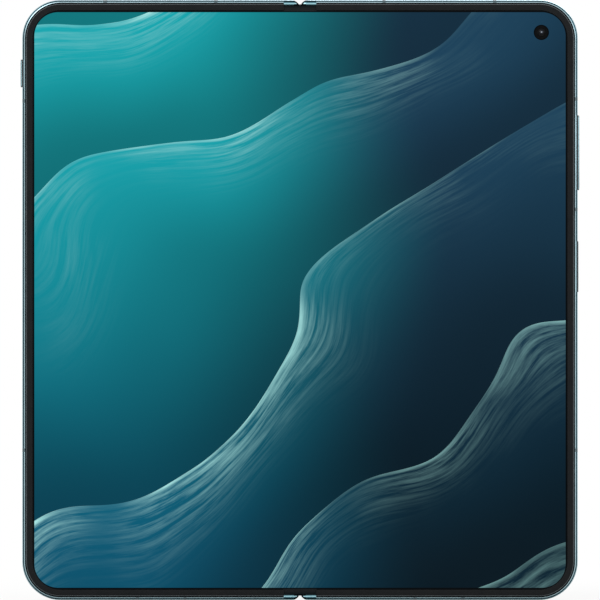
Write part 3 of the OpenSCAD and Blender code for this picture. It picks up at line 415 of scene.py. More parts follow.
# Light-proof black of the small cameras: matt, so that only glass shines there
baffle_black = grained("baffle_black_anodise", "#040506", "#08090a", 0.6, 0.05, 0.003, 0.5, 0.1,
                       Specular_IOR_Level=0.05)
# Stamped, hard-gold contacts in the charging port: small warm glints
port_gold = grained("hard_gold_contact", "#c79a4b", "#d8b068", 1, 0.05, 0.001, 0.22, 0.06, Metallic=1.0)
# Woven acoustic mesh behind the grille holes, drawn as coarse as it needs to show
acoustic_mesh = grained("acoustic_mesh_steel", "#1a1d1f", "#34383a", 0.3, 0.12, 0.03, 0.5, 0.1, Metallic=0.6)
# Lathe-turned aluminium of the camera island: fine rings that fan its highlight out
island_metal = turned_finish("turned_island_aluminium", "#5f7479", "#6e848a", (ISLAND[0], ISLAND[2]), 0.35,
                             0.004, 0.26, Metallic=1.0)


def circuit_board(name):
    """Green solder mask over etched copper: its tracks are raised, lighter lines about 0.3 mm wide."""
    material, tree, place, principled = blank(name, Roughness=0.35, Coat_Weight=0.5, Coat_Roughness=0.15)
    turned = wire(tree, "Mapping", {"Vector": place, "Rotation": (math.pi / 2, 0, 0)})
    tracks = wire(tree, "TexBrick", {
        "Vector": turned, "Scale": 1 / (4 * MM), "Mortar Size": 0.04, "Brick Width": 1.1, "Row Height": 0.24,
        "Color1": "#155038", "Color2": "#1a5c41", "Mortar": "#2f7d57"})
    speck = wire(tree, "TexNoise", {"Vector": place, "Scale": 1 / (0.5 * MM), "Detail": 2})
    tone = wire(tree, "Mix.RGBA", {0: 0.3, 6: tracks, 7: speck.outputs["Color"]}, blend_type="SOFT_LIGHT")
    relief = wire(tree, "Bump", {"Strength": 0.5, "Distance": 0.02 * MM, "Height": tracks.outputs["Fac"]})
    plug(principled, {"Base Color": tone, "Normal": relief})
    return material


solder_mask = circuit_board("solder_mask_board")
coil_low, coil_high = extent("charging_coil")
# Enamelled copper wire wound flat: orange-brown, one ring to each turn
enamelled_copper = turned_finish("enamelled_copper_wire", "#9a5a2c", "#c07a44",
                                 ((coil_low[0] + coil_high[0]) / 2, (coil_low[2] + coil_high[2]) / 2),
                                 0.4, 0.03, 0.3, Metallic=1.0)
# The charging port's middle, the two faces of its tongue, and half its resin's size; the tray's eject hole
PORT_X = 35.5
PORT_TONGUE = (3.0, 3.7)
RESIN_HALF = (3.45, 0.45)
EJECT_R = 0.42
EJECT_FROM_END = 1.7


def metal_but(tree, place, principled, black_or_shade_part, dark, tone_a, tone_b, grain_mm, dull):
    """Grained metal between two tones, but a dark non-metal where the given part is one: black resin, or the
    painted shade of a hole.
    """
    grain = wire(tree, "TexNoise", {"Vector": place, "Scale": 1 / (grain_mm * MM), "Detail": 3})
    metal = wire(tree, "Mix.RGBA", {0: grain, 6: tone_a, 7: tone_b})
    tone = wire(tree, "Mix.RGBA", {0: black_or_shade_part, 6: metal, 7: dark})
    metallic = wire(tree, "Math.SUBTRACT", [1, black_or_shade_part])
    rough = wire(tree, "MapRange", {"Value": grain, **dull})
    plug(principled, {"Base Color": tone, "Metallic": metallic, "Roughness": rough})


def port_finish(name):
    """The charging port: a drawn nickel shell, and its tongue of black resin between the contacts."""
    material, tree, place, principled = blank(name)
    middle = Vector((PORT_X, FRONT + sum(PORT_TONGUE) / 2, 0)) * MM
    apart = wire(tree, "VectorMath.SUBTRACT", [place, middle])
    apart = wire(tree, "VectorMath.ABSOLUTE", [apart])
    apart = wire(tree, "SeparateXYZ", [apart])
    wide = wire(tree, "Math.LESS_THAN", [apart.outputs["X"], RESIN_HALF[0] * MM])
    thin = wire(tree, "Math.LESS_THAN", [apart.outputs["Y"], RESIN_HALF[1] * MM])
    resin = wire(tree, "Math.MULTIPLY", [wide, thin])
    metal_but(tree, place, principled, resin, "#141516", "#9ea09c", "#b9bab5", 0.15,
              {"To": (0.22, 0.42)})
    return material


def tray_finish(name):
    """The card tray's anodised face, matched to the frame, with its eject hole near one end painted
    near-black as shade.
    """
    material, tree, place, principled = blank(name)
    low, high = extent("sim_tray")
    hole = Vector((high[0] - EJECT_FROM_END, (low[1] + high[1]) / 2, 0)) * MM
    level = wire(tree, "VectorMath.MULTIPLY", [place, (1, 1, 0)])
    away = wire(tree, "VectorMath.DISTANCE", [level, hole])
    # painted shade: the hole is not cut, so its disc is painted near-black
    painted_hole_shade = wire(tree, "Math.LESS_THAN", [away, EJECT_R * MM])
    metal_but(tree, place, principled, painted_hole_shade, "#020303", "#64808a", "#6b8891", 0.12,
              {"From": NOISE_SPAN, "To": (0.24, 0.34)})
    return material


port_metal = port_finish("drawn_nickel_port")
tray_metal = tray_finish("anodised_tray_face")

# ---------- the lit screen ----------
# The black border, the lit corner, the ring round the camera, the blur of an edge, and the film's reach
BORDER_SIDE = 3.1
BORDER_END = 3.14
SCREEN_R = 6.1
PUNCH_DARK_R = 1.95
SOFT_EDGE = 0.04
FILM_END = 2.86
# The design's sheets: their spacing and slant, the size and the reach of what bends them, and their threads
SHEET_MM = 44
SHEET_TURN = 33
WANDER_MM = 100
SHEET_BEND = 110
COLOUR_BEND = 70
THREAD_MM = 0.8


def silk_sheets(tree, flat, x, z):
    """A plain abstract design in teal and navy: overlapping sheets, each brightest at its upper edge.

    Below its edge a sheet sinks into shade, with fine threads that run with the edge and thin out.
    """
    # slow wandering that bends the sheets; across runs over their edges, and along runs with them
    wander = wire(tree, "TexNoise", {"Vector": flat, "Scale": 1 / WANDER_MM, "Detail": 1.5})
    wander = wire(tree, "Math.SUBTRACT", [wander, 0.5])
    slant = wire(tree, "Mapping", {"Vector": flat, "Rotation": (0, math.radians(SHEET_TURN), 0)})
    slanted = wire(tree, "SeparateXYZ", [slant])
    across = wire(tree, "Math.MULTIPLY_ADD", [wander, SHEET_BEND, slanted.outputs["Z"]])
    sheets = wire(tree, "Math.DIVIDE", [across, SHEET_MM])
    risen = wire(tree, "Math.FRACT", [sheets])
    below = wire(tree, "Math.SUBTRACT", [1, risen])

    # teal on the left to navy on the right, both deeper towards the bottom
    side = wire(tree, "Math.MULTIPLY_ADD", [wander, COLOUR_BEND, x])
    side = wire(tree, "MapRange.SMOOTHSTEP", {"Value": side, "From": (-30, 34)})
    down = wire(tree, "MapRange.SMOOTHSTEP", {"Value": z, "From": (66, -74)})
    teal = wire(tree, "Mix.RGBA", {0: down, 6: "#129aa2", 7: "#06506a"})
    navy = wire(tree, "Mix.RGBA", {0: down, 6: "#173b52", 7: "#051f2c"})
    ground = wire(tree, "Mix.RGBA", {0: side, 6: teal, 7: navy})
    shadow = wire(tree, "MapRange.SMOOTHSTEP", {"Value": below, "To": (1.2, 0.56)})
    ground = wire(tree, "VectorMath.SCALE", {0: ground, 3: shadow})

    # threads: noise drawn out along the sheets, dense at an edge and thinning out below it, in patches
    along = wire(tree, "CombineXYZ", {"X": slanted.outputs["X"], "Z": across})
    drawn = wire(tree, "Mapping", {"Vector": along, "Scale": (0.035 / THREAD_MM, 1, 0.7 / THREAD_MM)})
    thread = wire(tree, "TexNoise", {"Vector": drawn, "Scale": 1, "Detail": 8, "Roughness": 0.68})
    thread = wire(tree, "MapRange", {"Value": thread, "From": (0.42, 0.72)})
    dense = wire(tree, "MapRange", {"Value": below, "From": (0, 0.55), "To": (1, 0)})
    dense = wire(tree, "Math.POWER", [dense, 3.0])
    patch = wire(tree, "TexNoise", {"Vector": flat, "Scale": 0.024, "Detail": 2})
    patch = wire(tree, "MapRange.SMOOTHSTEP", {"Value": patch, "From": (0.36, 0.64), "To": (0.05, 1)})
    edge = wire(tree, "MapRange", {"Value": below, "From": (0, 0.022), "To": (0.5, 0)})
    glow = wire(tree, "Math.MULTIPLY_ADD", [thread, dense, edge])
    glow = wire(tree, "Math.MULTIPLY", [glow, patch], use_clamp=True)
    middle = wire(tree, "MapRange", {"Value": side, "To": (1.0, 0.45)})
    glow = wire(tree, "Math.MULTIPLY", [glow, middle])
    return wire(tree, "Mix.RGBA", {0: glow, 6: ground, 7: "#b4f2ee"})


def end_film(tree, x, z):
    """Black under the screen's gloss, but grey at both ends of the fold.

    The bezel strips stop short of the fold, and a film carries their grey across it, with painted shadow
    under the lips.
    """
    apart = wire(tree, "Math.ABSOLUTE", [x])
    at_fold = wire(tree, "Math.LESS_THAN", [apart, BEZEL_LOW[0] + 0.1])
    height = wire(tree, "Math.ABSOLUTE", [z])
    start = BODY_H / 2 - FILM_END
    ending = wire(tree, "MapRange", {"Value": height, "From": (start - SOFT_EDGE, start + SOFT_EDGE)})
    film = wire(tree, "Math.MULTIPLY", [at_fold, ending])
    from_end = wire(tree, "Math.SUBTRACT", [BODY_H / 2, height])
    from_end = wire(tree, "Math.DIVIDE", [from_end, FILM_END])
    # painted shadow: near-black just under the lips, then a grey that darkens towards them
    stops = ((1.5, "#010304"), (1.62, "#121618"), (2.0, "#16191a"), (2.2, "#1c1d1e"))
    tones = banded(tree, from_end, [(at / FILM_END, code) for at, code in stops])
    return wire(tree, "Mix.RGBA", {0: film, 6: "#020304", 7: tones})


def lit_screen(name):
    """A panel that glows inside a rounded rectangle, apart from a black ring round the camera's hole."""
    material, tree, _, principled = blank(name, Roughness=0.09, Specular_IOR_Level=0.04,
                                          Emission_Strength=1.0)
    flat = flat_place(tree, (0, BODY_H / 2))
    parts = wire(tree, "SeparateXYZ", [flat])
    x, z = parts.outputs["X"], parts.outputs["Z"]
    inset = box_inset(tree, HALF_W - BORDER_SIDE, BODY_H / 2 - BORDER_END, SCREEN_R, (0, BODY_H / 2))
    inside = wire(tree, "MapRange", {"Value": inset, "From": (-SOFT_EDGE, SOFT_EDGE)})
    away = wire(tree, "VectorMath.DISTANCE", [flat, (PUNCH[0], 0, PUNCH[2] - BODY_H / 2)])
    clear = wire(tree, "MapRange", {"Value": away,
                                    "From": (PUNCH_DARK_R - SOFT_EDGE, PUNCH_DARK_R + SOFT_EDGE)})
    lit = wire(tree, "Math.MULTIPLY", [inside, clear])
    shown = wire(tree, "Mix.RGBA", {0: lit, 6: "#010305", 7: silk_sheets(tree, flat, x, z)})
    plug(principled, {"Emission Color": shown, "Base Color": end_film(tree, x, z)})
    return material


screen = lit_screen("lit_folding_panel")
# The cover screen's corner, and the outer ring of its camera
COVER_R = 5.0
EYE_R = 2.0


def cover_screen(name):
    """The dark outer screen under gloss glass: a bluer black inside its border, and the camera's rings."""
    material, tree, _, principled = blank(name, Roughness=0.04, Specular_IOR_Level=0.32)
    low, high = extent("cover_display")
    middle, half = (low + high) / 2, (high - low) / 2
    inset = box_inset(tree, half[0], half[2], COVER_R, (middle[0], middle[2]))
    inside = wire(tree, "MapRange", {"Value": inset, "From": (-0.08, 0.08)})
    low, high = extent("cover_camera")
    flat = flat_place(tree, ((low[0] + high[0]) / 2, high[2] - EYE_R))
    speck = wire(tree, "TexNoise", {"Vector": flat, "Scale": 0.4, "Detail": 2})
    panel = wire(tree, "Mix.RGBA", {0: speck, 6: "#070a0e", 7: "#0a0e13"})
    face = wire(tree, "Mix.RGBA", {0: inside, 6: "#020303", 7: panel})
    away = wire(tree, "VectorMath.LENGTH", [flat])
    share = wire(tree, "Math.DIVIDE", [away, EYE_R])
    rings = banded(tree, share, [(0, "#14233c"), (0.32, "#05080d"), (0.5, "#05080d"), (0.56, "#23292d"),
                                 (0.66, "#1b2023"), (0.72, "#020303")])
    near = wire(tree, "Math.LESS_THAN", [share, 1.0])
    tone = wire(tree, "Mix.RGBA", {0: near, 6: face, 7: rings})
    plug(principled, {"Base Color": tone})
    return material


cover_gloss = cover_screen("cover_screen_gloss_glass")


def coated_glass(name, rim, heart):
    """Multi-coated lens glass: black with a coloured painted reflection of its coating that shifts towards
    the rim, at full gloss.
    """
    material, tree, place, principled = blank(name, Roughness=0.03, Specular_IOR_Level=0.5)
    facing = wire(tree, "LayerWeight", {"Blend": 0.35}).outputs["Facing"]
    cloud = wire(tree, "TexNoise", {"Vector": place, "Scale": 1 / (2 * MM), "Detail": 1})
    share = wire(tree, "Math.MULTIPLY_ADD", [cloud, 0.2, facing])
    painted_reflection = wire(tree, "Mix.RGBA", {0: share, 6: heart, 7: rim})
    plug(principled, {"Base Color": painted_reflection})
    return material


coated_blue = coated_glass("coated_lens_blue", "#3b3a9a", "#030a14")
coated_green = coated_glass("coated_lens_green", "#1f7d66", "#030c12")
# The inner camera's dome, and the pale painted glint on it with its shift from the middle
DOME_R = 0.62
GLINT_R = 0.3
GLINT_OFF = (0.06, 0.12)


def selfie_lens(name):
    """The inner camera's glass: black, with a small pale painted glint a little off the middle."""
    material, tree, _, principled = blank(name, Roughness=0.03, Specular_IOR_Level=0.12)
    flat = flat_place(tree, (PUNCH[0] + GLINT_OFF[0], PUNCH[2] + GLINT_OFF[1]))
    away = wire(tree, "VectorMath.LENGTH", [flat])
    share = wire(tree, "Math.DIVIDE", [away, DOME_R])
    glint = GLINT_R / DOME_R
    painted_reflection = banded(tree, share, [(0, "#a9aeb8"), (0.5 * glint, "#737a83"), (glint, "#171c26"), (1, "#030507")])
    plug(principled, {"Base Color": painted_reflection})
    return material


coated_small = selfie_lens("coated_selfie_lens")


def clear_cover(name):
    """Sapphire discs over the lenses: clear, with a faint bluish cast that drifts over 3 mm."""
    material, tree, place, principled = blank(name, Transmission_Weight=1.0, IOR=1.3, Roughness=0.0)
    cast = wire(tree, "TexNoise", {"Vector": place, "Scale": 1 / (3 * MM), "Detail": 2})
    tint = wire(tree, "Mix.RGBA", {0: cast, 6: "#eef4f8", 7: "#ffffff"})
    plug(principled, {"Base Color": tint})
    return material


sapphire = clear_cover("clear_sapphire_disc")
# Phosphor seen through moulded ridges: warm cream, ringed every 0.3 mm
flash_phosphor = turned_finish("flash_phosphor_lens", "#e9dfba", "#f6f0d8", FLASH_AT, 0.3, 0.03, 0.2,
                               Coat_Weight=0.6, Subsurface_Weight=0.2)


# ---------- meshes ----------
def tube(x, y, z, capped=True):
    """Vertices and faces of a skin over coordinate arrays that spread to one grid.

    Each row closes into a ring, and the first and last rings are capped unless they end in a point.
    """
    points = np.stack(np.broadcast_arrays(x, y, z), axis=-1)
    index = np.arange(points[..., 0].size).reshape(points.shape[:2])
    ends = [index[0, ::-1].tolist(), index[-1].tolist()] if capped else []
    index = np.hstack([index, index[:, :1]])
    quads = np.stack([index[:-1, :-1], index[1:, :-1], index[1:, 1:], index[:-1, 1:]], axis=-1)
    return points.reshape(-1, 3), quads.reshape(-1, 4).tolist() + ends


def piece(name, shells, material, body, replaced=(), crease=35):
    """One named mesh made of closed shells in millimetres, riding on a body in place of CAD nodes."""
    vertices, faces = [], []
    for points, quads in shells:
        start = sum(len(v) for v in vertices)
        vertices.append(points)
        faces += [[start + i for i in face] for face in quads]
    mesh = bpy.data.meshes.new(name)
    mesh.from_pydata((np.vstack(vertices) * MM).tolist(), [], faces)
    work = bmesh.new()
    work.from_mesh(mesh)
    bmesh.ops.remove_doubles(work, verts=work.verts, dist=1e-7)
    bmesh.ops.dissolve_degenerate(work, edges=work.edges, dist=1e-8)
    bmesh.ops.recalc_face_normals(work, faces=work.faces)
    work.to_mesh(mesh)
    work.free()
    mesh.shade_smooth()
    mesh.set_sharp_from_angle(angle=math.radians(crease))
    mesh.materials.append(material)
    made = bpy.data.objects.new(name, mesh)
    bpy.context.scene.collection.objects.link(made)
    if body:
        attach(made, body)
    if replaced:
        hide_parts(*replaced)
    return made


def mirrored(shells):
    """The same shells on the other half of the phone."""
    return [(points * (-1, 1, 1), [face[::-1] for face in faces]) for points, faces in shells]


def pair(name, shells, material, node=None):
    """One piece on the right half and its mirror image on the left, in place of the node on each."""
    for side, own in (("right", shells), ("left", mirrored(shells))):
        piece(f"{name}_{side}", own, material, f"{side}_half", [f"{side}_{node}"] if node else ())


def arc(centre, radius, start, stop, steps):
    """Points on a circle arc, angles in degrees."""
    turn = np.radians(np.linspace(start, stop, steps))
    return np.stack([centre[0] + radius * np.cos(turn), centre[1] + radius * np.sin(turn)], axis=-1)


RUN_STEPS = 40
BEND_STEPS = 28


def half_edge():
    """Outline of the right half in X and Z from the fold at the bottom round to the top, with its normals.

    Its points lie one corner radius out from a line that goes along the bottom, up the side and back along
    the top, and the direction outwards turns only in the two corners.
    """
    bend = np.linspace(0, math.pi / 2, BEND_STEPS)
    run_x = np.linspace(BEZEL_LOW[0], HALF_W - CORNER_R, RUN_STEPS, endpoint=False)
    run_z = np.linspace(CORNER_R, BODY_H - CORNER_R, 2 * RUN_STEPS)[1:-1]
    turn = np.concatenate([0 * run_x, bend, 0 * run_z + math.pi / 2, bend + math.pi / 2, 0 * run_x + math.pi])
    x = np.concatenate([run_x, np.full(2 * BEND_STEPS + run_z.size, HALF_W - CORNER_R), run_x[::-1]])
    z = np.concatenate([np.full(RUN_STEPS + BEND_STEPS, CORNER_R), run_z,
                        np.full(RUN_STEPS + BEND_STEPS, BODY_H - CORNER_R)])
    normal = np.stack([np.sin(turn), -np.cos(turn)], axis=-1)
    return np.stack([x, z], axis=-1) + CORNER_R * normal, normal


def swept(profile):
    """A profile of (inset, depth) points carried round the right half's outline and closed at its ends."""
    line, normal = half_edge()
    flat = line[:, None, :] - normal[:, None, :] * profile[None, :, :1]
    return tube(flat[..., 0], depth(profile[:, 1]), flat[..., 1])


def turned(profile, place, steps=72, upright=False):
    """A profile of (radius, depth) points turned about a depth axis through X and Z.

    Upright, its points are (radius, height) and the axis stands through X and Y.
    """
    turn = np.linspace(0, 2 * math.pi, steps, endpoint=False)
    radius, run = profile[:, :1], profile[:, 1:]
    first, second = place[0] + radius * np.cos(turn), place[1] + radius * np.sin(turn)
    return tube(first, second, run, False) if upright else tube(first, depth(run), second, False)


def eased_plate(low, high, ease):
    """A plate between two corners whose edges at both X faces are eased off."""
    inset = np.array([ease, 0, 0, ease])[:, None]
    x = np.array([low[0], low[0] + ease, high[0] - ease, high[0]])[:, None]
    y = np.hstack([low[1] + inset, high[1] - inset, high[1] - inset, low[1] + inset])
    z = np.hstack([low[2] + inset, low[2] + inset, high[2] - inset, high[2] - inset])
    return tube(x, y, z)


# ---------- bezel ----------
# The gap round the strip, its shoulder's radius, its crown's rise, its inner edge's radius, and the gasket
SEAM_W = 0.1
SHOULDER = 0.17
CROWN = 0.03
INNER_EASE = 0.12
GASKET_GAP = 0.01
GASKET_DOWN = 0.16


def bezel_profile():
    """Section of the raised strip inside its shoulder: faint crown and a softer inner edge."""
    outer, inner = BEZEL_IN + SEAM_W + SHOULDER, BEZEL_IN + BEZEL_W
    across = np.linspace(outer, inner - INNER_EASE - 0.1, 9)
    crown = np.stack([across, CROWN * np.linspace(-1, 1, 9) ** 2], axis=-1)
    ease = arc((inner - INNER_EASE, INNER_EASE + CROWN), INNER_EASE, 270, 360, 6)
    return np.vstack([[[outer, BEZEL_T]], crown, ease, [[inner, BEZEL_T]]])


def shoulder_profile():
    """Section of the strip's outer shoulder, a quarter round that meets its face."""
    outer = BEZEL_IN + SEAM_W
    quarter = arc((outer + SHOULDER, SHOULDER + CROWN), SHOULDER, 180, 270, 8)
    return np.vstack([[[outer, BEZEL_T]], quarter, [[outer + SHOULDER, BEZEL_T]]])


def gasket_profile():
    """Section of the gasket: a shallow hollow well below the bezel's face."""
    across = np.linspace(GASKET_GAP, SEAM_W - GASKET_GAP, 5)
    hollow = GASKET_DOWN + 0.02 * np.cos((across / SEAM_W - 0.5) * math.pi)
    front = np.stack([BEZEL_IN + across, hollow], axis=-1)
    return np.vstack([front, [[front[-1, 0], BEZEL_T], [front[0, 0], BEZEL_T]]])


pair("bezel_strip", [swept(bezel_profile())], bezel_satin, "bezel")
pair("bezel_shoulder", [swept(shoulder_profile())], shoulder_highlight)
pair("bezel_gasket", [swept(gasket_profile())], seam_shade_rubber)

# ---------- metal lips beside the fold ----------
# A lip's two edges, counted in from the outline, where it runs in X, and its narrower end beside the fold
LIP_IN = (0.88, 1.27)
LIP_X = (0.4, BEZEL_LOW[0] - 0.04)
LIP_END_IN = 1.09
LIP_END_X = (1.45, 1.6)
LIP_ROUND = 0.2
LIP_DEPTHS = np.array([0.06, 0.14, 0.26, 0.26])


def fold_lip(top):
    """A sloping metal lip from the bezel's end towards the fold.

    It steps back where the closed phone brings it beside the spine's end cap, and its fold end is rounded.
    """
    x = np.linspace(*LIP_X, 60)[:, None]
    step = np.clip((x - LIP_END_X[0]) / (LIP_END_X[1] - LIP_END_X[0]), 0, 1)
    step = step ** 2 * (3 - 2 * step)
    tip = np.clip((x - LIP_X[0]) / LIP_ROUND, 0, 1)
    tip = 0.1 + 0.9 * np.sqrt(1 - (1 - tip) ** 2)
    inner = LIP_IN[0] + (LIP_END_IN - LIP_IN[0]) * tip + (LIP_IN[1] - LIP_END_IN) * step
    outer = np.full(x.shape, LIP_IN[0])
    inset = np.hstack([outer, inner, inner, outer])
    return tube(x, depth(LIP_DEPTHS), BODY_H - inset if top else inset)


pair("fold_lip", [fold_lip(True), fold_lip(False)], anodised)

# ---------- bending part of the screen ----------
CREASE_DEPTH = 0.03
CREASE_W = 2.2


def screen_bend():
    """A slab from the fold to the rigid screen whose front dips by a slight crease along the fold."""
    x = np.linspace(0, BEND_X + 0.01, 45)
    dip = CREASE_DEPTH * np.exp(-(x / CREASE_W) ** 2)
    section_y = np.concatenate([BEND_LOW[1] + dip, np.full(x.size, BEND_HIGH[1])])
    z = np.linspace(BEND_LOW[2], BEND_HIGH[2], 9)[:, None]
    return [tube(np.concatenate([x, x[::-1]]), section_y, z)]


bend_right = piece("screen_bend_right", screen_bend(), screen, None, ["display_fold"])
bend_left = piece("screen_bend_left", mirrored(screen_bend()), screen, None, ["display_fold"])
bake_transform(bend_right)
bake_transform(bend_left)


# ---------- inner camera ----------
def lens_dome():
    """The small camera's glass: a parabola as wide as the dome, and a flat flange behind it."""
    rim = (LENS_HIGH[0] - LENS_LOW[0]) / 2
    front, back = LENS_LOW[1] - FRONT, LENS_HIGH[1] - FRONT
    radius = np.linspace(0, DOME_R, 12)
    dome = np.stack([radius, front + (back - front) * 0.9 * (radius / DOME_R) ** 2], axis=-1)
    return turned(np.vstack([dome, [[rim, back - 0.01], [rim, back], [0, back]]]), (PUNCH[0], PUNCH[2]), 48)


piece("inner_camera_glass", [lens_dome()], coated_small, "right_half", ["inner_camera_lens"])


# ---------- side keys ----------
# A cap's width, the room behind the wall and the flange's play in it, and the stem's ease in its slot
KEY_W = 1.9
FLANGE_T = 1.0
FLANGE_GAP = 0.3
KEY_FIT = 0.1


def key_cap(middle, side, length, root, top, crown, edge):
    """A stadium key: straight sides, a rounded shoulder of radius edge, and a top that rises by crown."""
    shoulder = np.radians(np.linspace(0, 90, 7))
    rise = np.linspace(0, 1, 8)[1:]
    inset = np.concatenate([[KEY_W / 2, 0], edge * (1 - np.cos(shoulder)), edge + (KEY_W / 2 - edge) * rise])
    out = np.concatenate([[root, root], top - crown - edge + edge * np.sin(shoulder),
                          top - crown + crown * np.sin(rise * math.pi / 2)])
    turn = np.linspace(0, 2 * math.pi, 64, endpoint=False)
    radius = (KEY_W / 2 - inset)[:, None]
    along = np.sign(np.cos(turn)) * (length - KEY_W) / 2 + radius * np.cos(turn)
    return tube(side * out[:, None], middle[1] + radius * np.sin(turn), middle[2] + along, False)


def side_key(node, crown, edge):
    """Cap, stem and flange of one key, inside the room of its CAD node."""
    low, high = extent(node)
    middle = (low + high) / 2
    side = 1 if high[0] > 0 else -1
    inner, top = sorted((abs(low[0]), abs(high[0])))
    length = high[2] - low[2] - 2 * KEY_OVER
    wall = inner + FLANGE_T
    stem_x = sorted((side * (wall - FLANGE_GAP - 0.05), side * (wall + KEY_FIT)))
    flange_x = sorted((side * inner, side * (wall - FLANGE_GAP)))
    stem_half = np.array([KEY_W / 2 - KEY_FIT, (length - KEY_W) / 2])
    stem = eased_plate((stem_x[0], *(middle[1:] - stem_half)), (stem_x[1], *(middle[1:] + stem_half)), 0.05)
    flange = eased_plate((flange_x[0], *low[1:]), (flange_x[1], *high[1:]), KEY_FIT)
    return [key_cap(middle, side, length, wall - 2 * KEY_FIT, top, crown, edge), stem, flange]


for name, node, material, crown, edge in (("volume_key", "volume_rocker", polished_key, 0.06, 0.22),
                                          ("power_key", "power_button", polished_key, 0.04, 0.16),
                                          ("alert_key", "alert_slider", knurled_key, 0.05, 0.22)):
    piece(name, side_key(node, crown, edge), material, node, [node])

# ---------- bottom edge: port contacts, speaker and earpiece mesh ----------
CONTACTS = 12
CONTACT_PITCH = 0.5
CONTACT_SIZE = (0.26, 0.04)
CONTACT_EASE = 0.012
CONTACT_Z = (1.4, 5.2)
# Each grille's middle in X, its number of holes, and their depth
SPEAKER_GRILLE = (53.0, 7, 3.35)
EARPIECE_GRILLE = (-35.5, 9, 2.9)
GRILLE_PITCH = 2.2
MESH_R = 0.53
MESH_SUNK = 0.62


def port_contact(number, face, outward):
    """One flat contact, by its number along the row, on a face of the tongue."""
    middle = PORT_X + (number - (CONTACTS - 1) / 2) * CONTACT_PITCH
    near, far = sorted((depth(face), depth(face + outward * CONTACT_SIZE[1])))
    return eased_plate((middle - CONTACT_SIZE[0] / 2, near, CONTACT_Z[0]),
                       (middle + CONTACT_SIZE[0] / 2, far, CONTACT_Z[1]), CONTACT_EASE)


def mesh_discs(middle_x, count, v, z):
    """Slightly bulged discs of acoustic mesh, one inside each hole of a grille."""
    bulge = np.array([[0, 0.06], [MESH_R * 0.6, 0.05], [MESH_R, 0], [MESH_R, -0.05], [0, -0.05]]) + (0, z)
    places = middle_x + (np.arange(count) - (count - 1) / 2) * GRILLE_PITCH
    return [turned(bulge, (x, depth(v)), 24, upright=True) for x in places]


contacts = [port_contact(number, face, outward) for face, outward in zip(PORT_TONGUE, (-1, 1))
            for number in range(CONTACTS)]
piece("port_contacts", contacts, port_gold, "right_half")
piece("speaker_mesh", mesh_discs(*SPEAKER_GRILLE, MESH_SUNK), acoustic_mesh, "right_half")
piece("earpiece_mesh", mesh_discs(*EARPIECE_GRILLE, BODY_H - MESH_SUNK), acoustic_mesh, "left_half")

# ---------- camera island ----------
MODULE_LOW, MODULE_HIGH = extent("camera_modules")
BARREL_TOP = MODULE_HIGH[1] - FRONT
BARREL_R = 5.4
BARREL_LIP = 0.4
TERRACES = ((4.5, 0.35), (4.0, 0.7), (3.5, 1.0), (3.1, 1.25))
TERRACE_SLOPE = 0.25
WELL = 1.9
ELEMENT_R = 3.0
ELEMENT_DOWN = 0.95
ELEMENT_RISE = 0.6
ELEMENT_EDGE = 0.2
RIDGE_PITCH = 0.31
RIDGE_RISE = 0.04


def barrel(at):
    """Stepped light baffle round an inner lens: terraces that narrow as they go down to a flat well."""
    bottom = MODULE_LOW[1] - FRONT
    steps = [(0, bottom), (BARREL_R, bottom), (BARREL_R, BARREL_TOP), (BARREL_R - BARREL_LIP, BARREL_TOP)]
    for radius, down in TERRACES:
        steps += [(radius + TERRACE_SLOPE, BARREL_TOP - down), (radius, BARREL_TOP - down)]
    well = BARREL_TOP - WELL
    return turned(np.array(steps + [(TERRACES[-1][0], well), (0, well)]), at)


def lens_element(at):
    """A domed lens element: a parabola over a flat back."""
    top = BARREL_TOP - ELEMENT_DOWN
    radius = np.linspace(0, ELEMENT_R, 12)
    front = np.stack([radius, top - ELEMENT_RISE * (radius / ELEMENT_R) ** 2], axis=-1)
    back = top - ELEMENT_RISE - ELEMENT_EDGE
    return turned(np.vstack([front, [[ELEMENT_R, back], [0, back]]]), at)


def flash_lens():
    """The flash's cover: a disc whose front is a cosine of its radius, in rings of RIDGE_PITCH."""
    low, high = extent("flash_window")
    rim = (high[0] - low[0]) / 2
    front, back = high[1] - FRONT, low[1] - FRONT
    radius = np.linspace(0, rim, 40)
    ridges = front - 0.05 + RIDGE_RISE * np.cos(radius * 2 * math.pi / RIDGE_PITCH)
    return turned(np.vstack([np.stack([radius, ridges], axis=-1), [[rim, back], [0, back]]]), FLASH_AT, 48)


piece("camera_barrels", [barrel(at) for at in LENS_AT], barrel_black, "right_half",
      ["camera_modules"], 20)
for number, (at, glass) in enumerate(zip(LENS_AT, (coated_blue, coated_green, coated_blue))):
    piece(f"lens_element_{number + 1}", [lens_element(at)], glass, "right_half")
piece("flash_ridged_lens", [flash_lens()], flash_phosphor, "right_half", ["flash_window"], 60)

